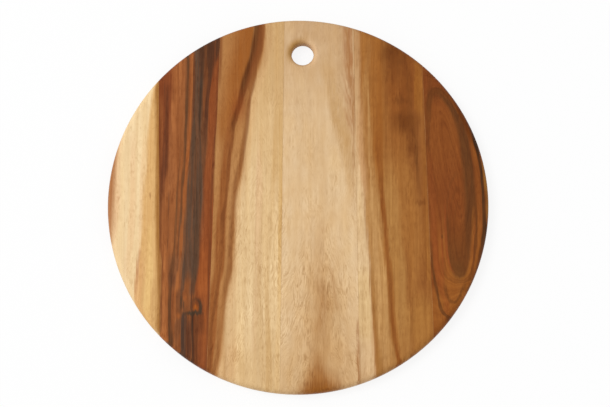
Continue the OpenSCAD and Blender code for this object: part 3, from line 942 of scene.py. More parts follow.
streakedStave["layers"] = [
    ("blotch", "topSap", (-18, 190), (62, 108), 0.8, 1),
    ("streak", "straw", (3, 3), [
        (110, -20, 1.2, 0.05), (80, -18.8, 1.6, 0.45), (40, -20.5, 2.2, 0.6), (15, -20.5, 2, 0.2),
        (-10, -20.5, 2, 0), (-110, -21, 2, 0.2), (-140, -21, 2, 0.35), (-170, -21, 2, 0.3),
    ]),
    ("streak", "straw", (1.5, 1.5), [
        (100, -16, 0.8, 0.3), (60, -15.8, 0.9, 0.7), (20, -16.1, 0.9, 0.9), (-20, -16.2, 0.9, 1),
        (-50, -16.3, 0.8, 0.8), (-90, -16.5, 0.8, 0.6), (-120, -16.6, 0.6, 0.2),
    ]),
    ("streak", "pinkSap", (2.5, 2.5), [
        (60, -36, 1, 0.2), (20, -36, 1.5, 0.7), (-40, -36, 1.5, 0.5), (-90, -37, 1.5, 0.3),
        (-130, -40, 1, 0.3),
    ]),
    ("streak", "dullSap", (2, 2), [
        (80, -33, 1, 0), (64, -33, 1.6, 0.4), (48, -33, 1.4, 0.4), (22, -33.5, 0.6, 0.1),
        (-30, -34, 0.7, 0.5), (-60, -35, 0.9, 0.5), (-90, -34.5, 1, 0.5), (-125, -35, 1.2, 0.45),
        (-145, -35, 1, 0.2),
    ]),
    ("streak", "dullSap", (2, 2), [
        (30, -24, 0.6, 0.3), (0, -25.3, 0.7, 0.35), (-30, -26.3, 0.8, 0.45), (-60, -27, 0.8, 0.5),
        (-90, -27.8, 0.9, 0.65), (-120, -27.4, 1.3, 0.85), (-140, -26.5, 1.7, 0.9), (-172, -26, 2, 0.8),
    ]),
    ("blotch", "dullSap", (-31, -162), (14, 38), 0.7, 0.5),
    ("blotch", "dullSap", (-27, 114), (5, 16), 0.9, 0.6),
    ("blotch", "dullSap", (-51, -153), (5, 16), 0.9, 0.5),
    ("blotch", "dullSap", (-27, 48), (4, 24), 0.9, 0.35),
    ("side", "edgeSap", True, 9, [
        (172, -24, 0.8), (130, -29.5, 1), (100, -38), (80, -41), (60, -43.5), (40, -46), (20, -49.5),
        (0, -53), (-20, -54), (-40, -54.6), (-60, -54.8), (-80, -57.5), (-100, -58, 0.7), (-120, -56, 0.6),
        (-140, -55, 0.9), (-157, -57, 0.9),
    ]),
    ("side", "heart", True, 4.8, [
        (172, -29.5), (150, -30.4), (140, -31.8), (130, -34.2), (120, -37.7), (110, -41.2), (100, -43.5),
        (90, -45.3), (80, -46.8), (70, -47.9), (60, -48.7), (50, -49.3), (40, -49.8), (30, -50.9),
        (20, -53.2), (10, -55.9), (0, -57.4), (-20, -57.7), (-30, -57.8), (-50, -58.2), (-60, -58.9),
        (-70, -61), (-80, -63.4), (-90, -65.2), (-100, -66.4), (-120, -67.8), (-140, -69.6), (-157, -72),
    ]),
    ("streak", "lightHeart", (1.5, 2), [
        (90, -73.5, 1, 0), (70, -74.4, 1, 0.6), (50, -75.2, 0.9, 0.75), (20, -76.2, 0.9, 0.5),
        (0, -77, 0.7, 0.2), (-30, -77.2, 1.3, 0.2), (-60, -78, 1.2, 0.25), (-80, -79, 0.6, 0),
    ]),
    ("streak", "tanHeart", (2, 2), [
        (80, -53, 1.5, 0.2), (50, -56.7, 2.8, 0.9), (20, -60.3, 2.1, 0.9), (0, -63, 2, 0.9),
        (-30, -65.2, 1.7, 0.9), (-60, -66.5, 1.4, 0.7), (-78, -69.3, 1.5, 0.35), (-100, -72, 1.5, 0.3),
    ]),
    ("streak", "orangeHeart", (15, 2), [
        (165, -46, 4, 1), (140, -49.8, 4, 1), (120, -54.2, 4, 0.95), (105, -57.5, 3, 0.85),
        (90, -60.5, 3, 0.85), (78, -64, 3, 0.8), (70, -65.5, 2.5, 0.7), (58, -67.5, 2, 0.3),
    ]),
    ("streak", "brownStreak", (3.2, 2.2), [
        (100, -57.5, 1.5, 0), (90, -59.5, 2, 0.75), (78, -61.6, 2.4, 0.75), (60, -63.8, 2.2, 0.9),
        (40, -65.5, 2.4, 0.9), (20, -67.5, 2.6, 0.9), (0, -68.8, 2.4, 0.9), (-20, -70.4, 3, 0.9),
        (-40, -71, 3.1, 0.9), (-60, -71.6, 3, 0.9), (-80, -75, 2.3, 0.95), (-100, -76.5, 2.3, 0.95),
        (-120, -77.7, 2.4, 0.95), (-150, -80.5, 1.4, 0.9),
    ]),
    ("streak", "streakEdge", (1.6, 1.6), [
        (70, -60.5, 0.5, 0.5), (45, -63.5, 0.5, 0.5), (20, -65, 0.5, 0.5), (0, -67, 0.6, 0.6),
        (-10, -68.5, 1, 0.8), (-30, -69, 0.7, 0.5), (-60, -71, 0.5, 0.4), (-78, -73.6, 0.5, 0.5),
        (-92, -75, 0.6, 0.7), (-110, -78, 0.6, 0.6), (-135, -79.7, 0.6, 0.7), (-156, -81, 0.6, 0.7),
    ]),
    ("streak", "darkStreak", (3.4, 2.4), [
        (172, -36.5, 2, 1), (160, -37.1, 2.5, 1), (150, -38.6, 2.7, 1), (140, -40.5, 2.7, 1),
        (130, -44.4, 2.2, 1), (120, -47.5, 2, 1), (110, -50.1, 2, 1), (100, -52.7, 1.6, 1),
        (90, -55.6, 1.4, 0.95), (80, -58.6, 1.3, 0.75), (70, -61.2, 1, 0.35), (58, -62.8, 0.8, 0),
    ]),
    ("streak", "streakEdge", (2, 2.4), [
        (172, -34.8, 1.4, 0.6), (150, -36.7, 1.6, 0.65), (138, -39.4, 1.6, 0.7), (127, -42.6, 1.6, 0.7),
        (115, -46.4, 1.4, 0.5), (105, -49.2, 1, 0.2), (95, -51, 0.8, 0),
    ]),
    ("streak", "brownHeart", (1, 3), [
        (168, -71.6, 0.6, 0.9), (150, -72.1, 0.6, 0.9), (130, -72.9, 0.5, 0.75), (115, -73.6, 0.3, 0.5),
        (102, -74.2, 0.2, 0),
    ]),
    ("streak", "brownHeart", (0.8, 1.4), [
        (-65, -79.2, 0.2, 0), (-80, -80, 0.3, 0.4), (-100, -80.7, 0.3, 0.5), (-120, -81.3, 0.3, 0.4),
        (-150, -82.3, 0.3, 0.4),
    ]),
    ("streak", "shadeSap", (3, 4), [
        (172, -27, 0.6, 0.5), (150, -28, 0.6, 0.5), (135, -31, 0.6, 0.55), (120, -36, 0.5, 0.35),
        (105, -40, 0.3, 0.2), (90, -42, 0.3, 0.2), (75, -44.5, 0.2, 0),
    ]),
    ("streak", "brownHeart", (2.4, 2.4), [
        (172, -33.2, 1.2, 0.85), (150, -34.8, 1.2, 0.9), (135, -38.4, 1.4, 0.85), (120, -43, 1.5, 0.7),
        (105, -48, 1.4, 0.5), (90, -51.5, 1.4, 0.3), (72, -55, 1.4, 0),
    ]),
    ("blotch", "redHeart", (-54.5, 92), (6, 14), 0.8, 0.4),
    ("streak", "boundary", (3, 2.4), [
        (172, -33, 0.4, 0.5), (150, -33.8, 0.4, 0.6), (130, -38, 0.4, 0.7), (110, -42, 0.5, 0.8),
        (100, -44.2, 0.5, 0.8), (80, -47, 0.6, 0.7), (60, -49.6, 0.8, 0.75), (40, -52.8, 1, 0.75),
        (30, -55, 1.2, 0.75), (15, -57.8, 1, 0.6), (0, -59.6, 0.8, 0.5), (-20, -61.3, 0.7, 0.6),
        (-35, -61.9, 0.7, 0.7), (-60, -62.4, 1.1, 0.65), (-80, -66.2, 0.8, 0.45), (-100, -69.2, 0.7, 0.35),
        (-125, -72, 0.7, 0.45), (-140, -73.5, 0.8, 0.7), (-160, -77, 0.7, 0.7),
    ]),
]

# stave with the hanging hole: blond, duller at the top, with a brown patch at the bottom
holeStave = dict(
    node="hanging_hole_stave",
    slot="blond_wood",
    seed=0.0,
    ringLean=0.2,
    waves=[(0.4, (30.0, 90.0, 24.0)), (0.35, (5.0, 22.0, 6.0)), (0.3, (0.9, 35.0, 3.0))],
    ragged=(1.5, (1.6, 25.0, 3.0)),
    breaks=(0.55, (1.2, 16.0, 4.0)),
    rough=0.5,
    figure=dict(
        paleFigure,
        bands=(0.022, (5.0, 200.0, 20.0)),
        lines=(0.014, (1.6, 60.0, 5.0)),
        blush=(0.028, (8.0, 24.0, 12.0)),
        lean=(0.15, (9.0, 16.0, 10.0)),
        fan=(20.0, 0.011, 20.0, -60.0),
        clusters=(16.0, 45.0, 12.0),
        thinning=(-70.0, 80.0, 0.35),
        strands=(0.105, (0.95, 17.0, 3.0)),
        flecks=(0.08, (0.9, 8.0, 2.5)),
        pores=(0.06, (0.9, 4.0, 1.2)),
    ),
    tones=dict(
        ground=(223, 188, 143), topBlond=(203, 165, 122), dull=(199, 157, 105), light=(228, 194, 148),
        pink=(176, 122, 78), plume=(201, 158, 108), brownish=(182, 134, 83), spot=(172, 122, 74),
        # the mouth tones here are painted shade and a painted highlight round the hole
        patch=(162, 106, 54), patchCore=(146, 88, 36), jointStain=(165, 112, 66), oiledMouth=(174, 127, 64),
        paleMouth=(226, 188, 146),
    ),
)
holeStave["layers"] = [
    ("blotch", "topBlond", (15, 200), (75, 88), 0.75, 1),
    ("blotch", "topBlond", (46.5, 105), (13, 66), 0.6, 0.75),
    ("streak", "dull", (6.5, 10), [
        (140, 26.3, 1.5, 0.2), (125, 27.4, 2, 0.55), (110, 31, 2, 0.65), (100, 33, 2, 0.75),
        (90, 35, 2, 0.85), (80, 37, 2, 0.9), (70, 39, 2, 0.9), (60, 41, 2, 0.9), (50, 43.2, 1.9, 0.85),
        (40, 45.2, 1.7, 0.75), (30, 47.2, 1.4, 0.6), (20, 48.8, 1.2, 0.5), (10, 50.3, 1, 0.35),
        (-5, 52, 1, 0.1),
    ]),
    ("blotch", "light", (37, 16), (6.5, 34), 0.6, 0.3),
    ("blotch", "light", (33, 37), (4, 15), 0.9, 0.8),
    ("blotch", "light", (3, 113), (5, 10), 0.9, 0.3),
    ("blotch", "dull", (26, 14), (5, 14), 0.9, 0.22),
    ("blotch", "dull", (15, 50), (11, 16), 0.9, 0.25),
    ("blotch", "dull", (3, -48), (4, 18), 0.9, 0.25),
    ("blotch", "light", (46, -45), (6, 26), 0.7, 0.65),
    ("blotch", "light", (-10, -42), (7.5, 42), 0.8, 0.5),
    ("blotch", "light", (30, -38), (5, 20), 0.9, 0.45),
    ("streak", "pink", (9, 2.5), [
        (172, 47.5, 1.4, 0.85), (150, 48, 1.4, 0.9), (135, 48.3, 1.3, 0.9), (120, 49.2, 1, 0.8),
        (105, 50.4, 0.8, 0.65), (90, 51, 0.6, 0.6), (75, 51.6, 0.4, 0.4), (62, 52.2, 0.3, 0),
    ]),
    ("streak", "spot", (1.4, 1.4), [
        (172, 45.2, 0.4, 0.5), (155, 45.8, 0.4, 0.6), (140, 46.6, 0.4, 0.55), (125, 47.3, 0.4, 0.6),
        (113, 48.5, 0.4, 0.5), (105, 49.5, 0.3, 0.3), (97, 50.5, 0.3, 0),
    ]),
    ("streak", "spot", (1.2, 1.2), [
        (120, 51.2, 0.3, 0.2), (105, 51.3, 0.4, 0.6), (85, 51.4, 0.5, 0.7), (65, 52, 0.5, 0.65),
        (45, 52.2, 0.5, 0.65), (25, 51.7, 0.5, 0.4), (8, 51.4, 0.4, 0.2), (-5, 51.4, 0.3, 0),
    ]),
    ("streak", "pink", (1.3, 1.3), [
        (132, 38.8, 0.3, 0), (120, 41.3, 0.4, 0.3), (106, 45.2, 0.5, 0.45), (93, 48.8, 0.4, 0.4),
        (82, 51.3, 0.3, 0),
    ]),
    ("streak", "pink", (1.2, 1.2), [
        (113, 39.8, 0.3, 0), (103, 42.3, 0.4, 0.25), (92, 45.4, 0.5, 0.45), (81, 48.8, 0.5, 0.45),
        (69, 51.6, 0.3, 0),
    ]),
    ("streak", "pink", (1.4, 1.4), [
        (96, 40.3, 0.3, 0), (88, 42.3, 0.5, 0.35), (78, 45.8, 0.5, 0.45), (67, 49.8, 0.4, 0.35),
        (59, 51.8, 0.3, 0),
    ]),
    ("streak", "light", (1.1, 1.1), [
        (122, 42.6, 0.3, 0), (114, 44.2, 0.4, 0.45), (105, 46.7, 0.4, 0.45), (97, 48.9, 0.3, 0),
    ]),
    ("streak", "light", (1.1, 1.1), [
        (98, 44.2, 0.3, 0), (91, 46.1, 0.4, 0.4), (84, 48.4, 0.4, 0.35), (77, 50.5, 0.3, 0),
    ]),
    ("blotch", "plume", (21, -125), (22, 85), 0.7, 0.75),
    ("streak", "brownish", (6, 6), [
        (-20, 21, 1, 0.1), (-38, 20, 2, 0.2), (-55, 19.5, 2.5, 0.22), (-70, 20.5, 3.5, 0.3),
        (-85, 24, 5.5, 0.42), (-97, 25, 6.5, 0.6), (-110, 22, 4.5, 0.55), (-130, 21, 5.5, 0.62),
        (-150, 18.5, 6, 0.7), (-172, 18, 6, 0.7),
    ]),
    ("streak", "spot", (4, 4), [
        (-62, 18.5, 0.4, 0), (-74, 21, 1.4, 0.28), (-86, 24, 2.4, 0.45), (-93, 25, 2.4, 0.45),
        (-101, 23.5, 1.8, 0.4), (-112, 20, 1.2, 0.4), (-124, 18.5, 0.8, 0),
    ]),
    ("streak", "spot", (1.6, 2.5), [
        (-55, 29, 0.4, 0), (-65, 30.5, 0.5, 0.35), (-78, 33, 0.6, 0.45), (-90, 35.5, 0.7, 0.55),
        (-98, 37.2, 0.6, 0.45), (-106, 39, 0.4, 0),
    ]),
    ("blotch", "plume", (36, -160), (24, 33), 0.7, 0.68),
    ("blotch", "dull", (37, -104), (7, 22), 0.9, 0.35),
    ("blotch", "patch", (18, -157), (5.5, 16), 0.8, 0.6),
    ("blotch", "patch", (20.5, -171), (15.5, 17), 0.6, 0.9),
    ("blotch", "dull", (-7, -168), (14, 30), 0.8, 0.5),
    ("blotch", "light", (-10, 168), (6, 16), 0.8, 0.3),
    ("blotch", "patchCore", (21, -176), (18, 10), 0.7, 0.95),
    ("streak", "jointStain", (1.6, 0.8), [
        (-98, 55, 0.3, 0), (-112, 55, 0.6, 0.6), (-130, 55.1, 0.8, 0.75), (-150, 55.3, 0.9, 0.85),
        (-170, 55.6, 0.9, 0.9),
    ]),
    # painted highlight on the right side of the hole's mouth, which faces the lamp
    ("mouth", "paleMouth", (1, 0), 8, 1),
    # painted shade on the upper-left side of the hole's mouth, which is turned from the lamp
    ("mouth", "oiledMouth", (-1, 0.6), 7.5, 1),
]

# honey stave: golden brown heartwood with a pale strip along its left joint
honeyStave = dict(
    node="honey_stave",
    slot="honey_wood",
    seed=0.0,
    ringLean=0.3,
    waves=[(0.3, (26.0, 100.0, 24.0)), (0.25, (4.0, 26.0, 6.0)), (0.35, (0.9, 40.0, 3.0))],
    ragged=(1.0, (1.6, 14.0, 3.0)),
    breaks=(0.3, (1.4, 60.0, 4.0)),
    rough=0.5,
    figure=dict(
        brownFigure,
        bands=(0.04, (5.0, 240.0, 16.0)),
        lines=(0.048, (1.5, 130.0, 4.0)),
        strands=(0.055, (1.3, 18.0, 3.0)),
    ),
    tones=dict(
        ground=(163, 106, 52), paleStrip=(223, 188, 142), pinkStrip=(203, 156, 108), tan=(188, 140, 85),
        lowStrip=(216, 178, 124), lightTan=(203, 155, 98), oliveTan=(177, 126, 69), stripEdge=(163, 111, 57),
        orangeBrown=(159, 97, 42), darkStreak=(137, 76, 31), brownZone=(138, 79, 35),
        rightBrown=(146, 89, 43), blotch=(104, 56, 23), softBlotch=(121, 69, 31), darkLine=(111, 65, 30),
        lightStrip=(161, 101, 43), lowHoney=(169, 114, 56),
    ),
)
honeyStave["layers"] = [
    ("side", "rightBrown", False, 9, [
        (150, 100), (100, 101), (50, 101), (20, 107), (0, 111), (-20, 112.5, 0.8), (-40, 112, 0.55),
        (-70, 109, 0.8), (-90, 108, 0.6), (-110, 111, 0),
    ]),
    ("streak", "oliveTan", (2, 8), [
        (70, 82, 2, 0.1), (40, 83, 3, 0.3), (20, 84, 3.5, 0.7), (0, 85.5, 3.5, 0.9), (-20, 87, 3.5, 0.9),
        (-40, 88, 3.5, 0.9), (-60, 91, 3.5, 0.9), (-80, 92.5, 3.5, 0.9), (-100, 93.5, 3.5, 0.9),
        (-120, 95, 3.5, 0.7), (-140, 97, 3, 0.5),
    ]),
    ("blotch", "lowHoney", (112, -110), (10, 24), 0.5, 0.8),
    ("blotch", "brownZone", (94.5, 114), (14.5, 46), 0.5, 0.95),
    ("blotch", "brownZone", (90, 58), (11, 19), 0.9, 0.5),
    ("streak", "orangeBrown", (4, 5), [
        (150, 72, 3, 0.7), (110, 73, 3, 0.7), (80, 73.5, 3, 0.8), (60, 74, 2.5, 0.8), (40, 74.5, 1.5, 0.6),
        (20, 77, 1, 0.2),
    ]),
    ("streak", "tan", (3, 4), [
        (150, 66, 1, 0.1), (130, 63.5, 0.5, 0.25), (110, 62.5, 0.8, 0.45), (85, 62.6, 2, 0.3),
        (60, 63.8, 2.5, 0.45), (40, 65.2, 2.5, 0.45), (20, 67, 4, 0.5), (0, 68, 5, 0.9),
        (-20, 69.7, 5.5, 0.9), (-40, 71.2, 5, 0.9), (-60, 73.2, 5, 1), (-90, 75, 4.7, 1),
        (-120, 77.7, 4.3, 0.9), (-150, 81.2, 5.5, 0.8),
    ]),
    ("streak", "lightTan", (1, 1), [
        (110, 65, 0.3, 0.2), (85, 65.5, 0.4, 0.6), (50, 65.5, 0.3, 0.4), (20, 68, 0.4, 0.6),
        (0, 68, 0.4, 0.6), (-15, 68.5, 0.3, 0.2),
    ]),
    ("streak", "lightTan", (1, 1), [
        (12, 69.5, 0.3, 0), (-30, 70.3, 1.4, 0.7), (-60, 72.5, 1.8, 0.8), (-90, 75.2, 1.4, 0.75),
        (-115, 74.6, 0.6, 0.5), (-135, 76, 0.4, 0.1),
    ]),
    ("streak", "lightTan", (1, 1), [
        (-15, 75, 0.2, 0), (-30, 75.5, 0.4, 0.5), (-60, 79, 0.4, 0.6), (-90, 81.5, 0.5, 0.5),
        (-110, 82, 0.4, 0),
    ]),
    ("side", "pinkStrip", True, 6, [
        (165, 57.5, 0.3), (120, 58, 0.3), (90, 59.5, 0.5), (60, 60.5, 0.75), (45, 61.5, 0.8),
        (25, 63.2, 0.95), (8, 63, 0.55), (-10, 62.5, 0.25), (-60, 65, 0.1), (-110, 68.5, 0.7),
        (-140, 70.5, 0.8), (-160, 72, 0.9),
    ]),
    ("side", "paleStrip", True, 4.5, [
        (165, 56.5, 0.25), (140, 57, 0.3), (120, 57, 0.45), (100, 56.6, 0.55), (80, 55.6, 0.5),
        (60, 55.8, 0.6), (40, 57.2, 0.65), (25, 59, 0.8), (12, 60.4), (0, 61), (-20, 62.2), (-40, 64),
        (-60, 66.3), (-80, 66.2), (-100, 67, 0.95), (-115, 67.6, 0.85), (-140, 68.8, 0.75),
        (-160, 70.5, 0.6),
    ]),
    ("side", "lowStrip", True, 4.5, [
        (-50, 65.2, 0), (-75, 66, 0.8), (-110, 67.4, 0.8), (-128, 68.2, 0.3), (-142, 69, 0),
    ]),
    ("streak", "stripEdge", (1, 2), [
        (-108, 56, 0.2, 0), (-125, 56, 0.3, 0.2), (-145, 56.3, 0.5, 0.4), (-165, 56.5, 0.5, 0.5),
    ]),
    ("streak", "stripEdge", (1.8, 2.4), [
        (-40, 65.5, 0.6, 0.25), (-70, 68, 0.9, 0.55), (-100, 69.7, 0.9, 0.75), (-125, 72.2, 1, 0.7),
        (-140, 73.5, 1.6, 0.8), (-158, 75, 2, 0.9),
    ]),
    ("streak", "darkStreak", (2.2, 2.2), [
        (70, 73, 1, 0.1), (60, 73.5, 1.5, 0.3), (40, 74.7, 1.5, 0.45), (25, 76.4, 1.3, 0.55),
        (10, 77.4, 1, 0.7), (0, 77.9, 1, 0.85), (-15, 79.8, 1, 0.9), (-28, 80.9, 0.7, 0.8),
        (-40, 81.5, 0.6, 0.65), (-60, 82.8, 0.6, 0.6), (-80, 84.6, 0.4, 0.65), (-100, 85.8, 0.4, 0.75),
        (-110, 86.4, 0.4, 0.8), (-125, 87.7, 0.4, 0.75), (-140, 90, 0.6, 0.85), (-148, 92.5, 1, 0.9),
    ]),
    ("streak", "softBlotch", (3, 1.5), [
        (140, 101, 1.2, 0.3), (120, 102, 1.5, 0.6), (95, 103, 1.2, 0.6), (80, 104, 1, 0.4),
        (65, 105.5, 0.8, 0.3),
    ]),
    ("streak", "lightStrip", (2, 2), [
        (132, 110, 1.5, 0.6), (110, 110.5, 2.5, 0.8), (90, 111, 2.3, 0.65), (75, 113, 0.8, 0.1),
        (40, 116.2, 0.7, 0.3), (10, 117, 1, 0.3), (-25, 117.3, 1, 0.45), (-55, 118, 1.2, 0.5),
        (-80, 119, 0.6, 0.2), (-95, 119.5, 0.4, 0),
    ]),
    ("streak", "darkLine", (2.4, 1.5), [
        (75, 106.5, 0.6, 0.2), (60, 107.8, 0.4, 0.5), (50, 108.6, 0.3, 0.65), (40, 109, 0.3, 0.75),
        (25, 110.5, 0.2, 0.4), (10, 112, 0.2, 0.25), (-5, 113, 0.2, 0),
    ]),
    ("blotch", "blotch", (87, 144), (10, 10), 0.9, 0.8),
    ("blotch", "softBlotch", (88, 130), (10, 14), 0.7, 0.55),
    ("blotch", "softBlotch", (95, 134.5), (3.5, 3.5), 0.7, 0.7),
    ("blotch", "softBlotch", (94.5, 97), (5.5, 3.5), 0.7, 0.75),
    ("blotch", "blotch", (98.5, 76.5), (9, 9), 0.9, 0.72, 15),
    ("blotch", "softBlotch", (104, 65), (4, 8), 0.7, 0.65),
    ("blotch", "softBlotch", (105, 52), (4, 6), 0.7, 0.75),
    ("blotch", "softBlotch", (112.5, 0.5), (3.5, 2.2), 0.7, 0.6),
    ("blotch", "softBlotch", (116, 2), (1, 4), 0.6, 0.5),
    ("streak", "brownZone", (3, 3), [
        (-30, 99.5, 0.4, 0), (-50, 99.8, 0.5, 0.5), (-70, 100.2, 0.6, 0.5), (-95, 100.8, 0.5, 0.3),
        (-110, 101, 0.4, 0),
    ]),
    ("streak", "softBlotch", (2.6, 2.6), [
        (-70, 103, 0.3, 0), (-88, 103.6, 0.4, 0.45), (-105, 104, 0.4, 0.5), (-120, 104, 0.6, 0.4),
        (-138, 104.5, 0.8, 0.35),
    ]),
]

# cathedral stave: red-brown heartwood whose growth rings close in ovals, with painted shade along its rounded
# rim on the right
eyeRing = ((146.9, -69), 12.5, 14.0, 0.0, 1.0)
middleRing = ((141, -92), 5.7, 120.0, 0.1, 1.0)
topRing = ((127, 109), 13.7, 35.0, 0.2, -1.0)
cathedralStave = dict(
    node="cathedral_edge_stave",
    slot="red_heartwood",
    seed=0.0,
    rings=(eyeRing, topRing, -30.0, 30.0),  # what bends the fine lines below and above, y where they meet
    ringLean=-0.4,
    waves=[(0.25, (26.0, 90.0, 24.0)), (0.2, (4.0, 26.0, 6.0)), (0.12, (0.9, 40.0, 3.0))],
    ragged=(0.3, (3.0, 14.0, 4.0)),
    breaks=(0.3, (1.4, 50.0, 4.0)),
    rough=0.5,
    figure=dict(brownFigure, bands=(0.055, (5.0, 240.0, 16.0)), lines=(0.07, (1.4, 130.0, 4.0))),
    tones=dict(
        ground=(135, 75, 34), orange=(154, 92, 39), red=(148, 76, 36), lightStreak=(166, 98, 43),
        topRed=(128, 68, 32), darkBand=(98, 58, 30), eye=(106, 64, 32), eyeLine=(164, 99, 40),
        # the rim line tone is painted shade for the rounded rim on the right
        ringLine=(98, 57, 28), thinLine=(104, 61, 30), rimLine=(64, 43, 27), rimGold=(150, 98, 42),
        rimRed=(106, 56, 23), apex=(106, 60, 28),
    ),
)
cathedralStave["layers"] = [
    ("blotch", "orange", (143, -82), (15, 22), 0.5, 0.7),
    ("blotch", "orange", (125, -106), (8, 20), 0.6, 0.7),
    ("streak", "red", (2, 2.5), [
        (40, 122, 1, 0.2), (0, 124, 1.5, 0.5), (-40, 124.7, 1.6, 0.5), (-60, 127, 1.4, 0.5),
        (-80, 131, 1.4, 0.4), (-95, 135, 1.4, 0.3),
    ]),
    ("streak", "lightStreak", (1.2, 1.2), [
        (30, 126.6, 0.3, 0), (20, 128, 0.5, 0.35), (5, 130.6, 0.5, 0.4), (-10, 132.6, 0.5, 0.6),
        (-20, 133.3, 0.5, 0.5), (-35, 133.6, 0.5, 0.6), (-48, 133.6, 0.5, 0.5), (-56, 135, 0.4, 0.3),
        (-70, 137, 0.4, 0.2), (-80, 139, 0.4, 0),
    ]),
    ("streak", "lightStreak", (1.5, 1.5), [
        (4, 126.4, 0.3, 0), (-10, 127.4, 0.6, 0.4), (-22, 128.4, 0.6, 0.4), (-42, 129.5, 0.7, 0.5),
        (-52, 129.5, 0.5, 0.3), (-62, 130, 0.4, 0),
    ]),
    ("streak", "red", (1, 1), [
        (-24, 131.5, 0.4, 0), (-38, 131.4, 0.4, 0.6), (-58, 131.8, 0.4, 0.5), (-74, 133, 0.4, 0.4),
        (-86, 136, 0.4, 0),
    ]),
    ("blotch", "topRed", (138, 4), (18, 30), 0.8, 0.8),
    ("blotch", "topRed", (130, 114), (17, 21), 0.6, 0.9),
    ("blotch", "apex", (126, 102.5), (7, 6), 0.9, 0.5),
    ("arch", "apex", topRing, (-4, -0.8), 2.6, 0.85, (98, 72), 0.85),
    ("streak", "apex", (2, 3), [
        (120, 121, 1, 0.3), (100, 120.5, 1.2, 0.4), (85, 119.6, 1.2, 0.6), (70, 119.2, 0.9, 0.6),
        (55, 119.3, 0.6, 0.5), (40, 120, 0.4, 0),
    ]),
    ("arch", "ringLine", middleRing, (-0.6, 0.4), 1.6, 0.65, (-82, -66), 0.8),
    ("arch", "eyeLine", eyeRing, (0.7, 1.2), 1.8, 0.6, (-64, -40), 0.3),
    ("arch", "ringLine", eyeRing, (4.4, 4.8), 1.3, 0.25, (-66, -50), 1),
    ("arch", "eye", eyeRing, (-40, -1.4), 2.6, 0.6, (-55, 0), 1),
    ("blotch", "eye", (147.5, -63), (6, 8), 0.8, 0.75),
    ("streak", "eye", (1.2, 2), [
        (-5, 136, 0.5, 0), (-20, 136.4, 0.6, 0.5), (-35, 137, 0.6, 0.5), (-48, 138.6, 0.6, 0.5),
        (-58, 141.5, 0.6, 0.3), (-64, 145, 0.6, 0),
    ]),
    ("streak", "red", (0.9, 0.9), [
        (14, 134.3, 0.3, 0), (-8, 134.9, 0.35, 0.5), (-30, 135.5, 0.4, 0.7), (-45, 136.3, 0.4, 0.7),
        (-57, 138.4, 0.4, 0.7), (-64, 141, 0.4, 0.4), (-69, 144, 0.3, 0),
    ]),
    ("ring", "thinLine", (146.5, -21), (11.2, 48), 0.1, 0.28, 0.1),
    ("ring", "thinLine", (146.5, -23), (7.6, 37), 0.14, 0.22, 0.2),
    ("ring", "thinLine", (146.5, -26), (4, 25), 0.24, 0.22, 0.22),
    ("side", "rimRed", False, 2.5, [
        (112, 134, 0.4), (95, 143, 0.8), (85, 148, 0.9), (75, 152.5, 0.9), (65, 156, 0.8), (55, 159, 0.4),
        (45, 162, 0),
    ]),
    ("streak", "darkBand", (5, 2.6), [
        (104, 131, 0.3, 0.3), (98, 136.3, 0.8, 0.75), (92, 141, 1.1, 0.9), (86, 144.6, 1.3, 0.95),
        (79, 148.2, 1.7, 0.95), (65, 152, 2.3, 1), (50, 154.8, 2.8, 1), (35, 156.4, 3.4, 1),
        (20, 157.4, 3.4, 1), (5, 158.2, 2.8, 0.95), (-10, 158, 2.4, 0.9), (-25, 157, 2, 0.75),
        (-40, 156, 1.4, 0.55), (-52, 154.5, 1, 0.3), (-62, 152, 0.6, 0),
    ]),
    ("streak", "orange", (1.4, 1.4), [
        (4, 160.6, 0.3, 0), (-12, 160.3, 0.4, 0.45), (-30, 159.9, 0.4, 0.35), (-50, 158.7, 0.4, 0.15),
        (-62, 156.3, 0.4, 0.15),
    ]),
    ("streak", "ringLine", (1, 1), [
        (25, 163, 0.4, 0), (5, 162.8, 0.5, 0.6), (-15, 163.3, 0.5, 0.8), (-30, 163, 0.5, 0.8),
        (-40, 162.3, 0.9, 0.75), (-52, 160.9, 0.6, 0.5), (-60, 159, 0.7, 0.5), (-68, 156.8, 0.7, 0.5),
        (-76, 154, 0.5, 0),
    ]),
    ("streak", "orange", (1.5, 1.5), [
        (60, 159.8, 0.3, 0.2), (45, 162, 0.4, 0.35), (30, 164, 0.4, 0.2), (0, 165.5, 0.4, 0.2),
        (-30, 165.9, 0.5, 0.6), (-45, 164.6, 0.6, 0.5), (-60, 161.4, 0.6, 0.3),
    ]),
    ("side", "rimGold", False, 1.4, [
        (70, 166, 0.6), (40, 168.5, 1), (0, 172.3, 1), (-30, 171.6, 1), (-50, 169, 0.6),
    ]),
    # painted shade along the rounded rim on the right, where it turns from the lamp
    ("streak", "rimLine", (1.2, 1.2), [
        (90, 154, 1, 0.5), (70, 159.5, 0.9, 0.8), (62, 161.5, 0.9, 0.95), (52, 164, 0.8, 1),
        (42, 166, 0.8, 1), (30, 168, 0.8, 0.95), (15, 169.4, 0.8, 0.8), (0, 170.1, 0.9, 0.85),
        (-20, 170.2, 0.9, 0.9), (-35, 168.7, 0.9, 0.75), (-50, 165.8, 0.8, 0.45), (-65, 161.8, 0.8, 0.35),
        (-85, 154, 0.8, 0.3),
    ]),
    ("streak", "thinLine", (1.2, 1.2), [
        (-28, 121.2, 0.4, 0), (-37, 121.7, 0.4, 0.4), (-45, 122, 0.4, 0.7), (-60, 123.2, 0.4, 1),
        (-72, 125, 0.5, 1), (-83, 126.9, 0.5, 1), (-92, 128.6, 0.6, 1), (-99, 130.6, 0.9, 0.9),
        (-103, 133.2, 1.4, 0.9), (-106, 137, 1.8, 0.8),
    ]),
    ("blotch", "thinLine", (131.8, -31.4), (0.9, 2), 0.6, 0.8),
]

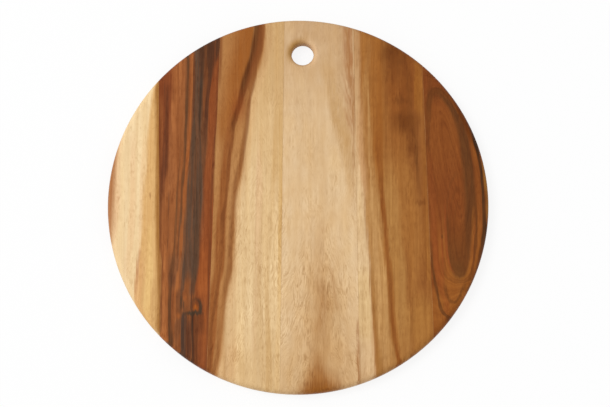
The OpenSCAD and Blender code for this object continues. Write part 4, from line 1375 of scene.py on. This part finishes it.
# cured glue: a hairline that has taken up oil unevenly along the joint
glueFilm = dict(
    pale=(196, 150, 98),
    dark=(122, 82, 48),
    patchLengths=(20.0, 26.0, 20.0),
    patchNoise=(0.38, 0.62),  # noise where the film is pale and where it is dark
    speckLengths=(0.4, 2.5, 0.6),
    speckNoise=(0.2, 0.8),
    speckShade=(0.85, 1.15),
    octaves=2,
    rough=0.55,
    roughSpread=0.08,
)


def glueMaterial(look):
    made = newMaterial("cured_glue")
    tree = made.node_tree
    place = boardPlace(tree)
    patches = noise(tree, place, look["patchLengths"], look["octaves"])
    specks = noise(tree, place, look["speckLengths"], look["octaves"])
    oiled = ramp(tree, patches, *look["patchNoise"])
    tones = {6: srgb(look["pale"]), 7: srgb(look["dark"])}
    mixed = addNode(tree, "ShaderNodeMix", {0: oiled, **tones}, data_type="RGBA")
    colour = scaled(tree, mixed.outputs[2], ramp(tree, specks, *look["speckNoise"], *look["speckShade"]))
    rough, spread = look["rough"], look["roughSpread"]
    roughness = ramp(tree, specks, *look["speckNoise"], rough - spread, rough + spread)
    satinSurface(tree, colour, roughness, specks)
    return made


# lay-up: six staves between five glue lines, from left to right
staves = [sapwoodStave, darkStave, streakedStave, holeStave, honeyStave, cathedralStave]
glueNodes = ["glue_line_1", "glue_line_2", "glue_line_3", "glue_line_4", "glue_line_5"]
joints = [jointLine(node) for node in glueNodes]
beyond = 2 * board["radius"]
shape = staveShape()
filmHalf = board["glue"] / 2

for index, look in enumerate(staves):
    left = (-beyond, 0.0) if index == 0 else (joints[index - 1][0] + filmHalf, joints[index - 1][1])
    right = (beyond, 0.0) if index == len(joints) else (joints[index][0] - filmHalf, joints[index][1])
    piece = growPiece("wood_" + look["node"], shape, left, right, makeWood(look))
    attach(piece, "root")
    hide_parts(look["node"])

curedGlue = glueMaterial(glueFilm)
for node, (place, slope) in zip(glueNodes, joints):
    left, right = (place - filmHalf, slope), (place + filmHalf, slope)
    piece = growPiece("film_" + node, shape, left, right, curedGlue)
    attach(piece, "root")
    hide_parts(node)
print("board laid up")

bpy.context.view_layer.update()
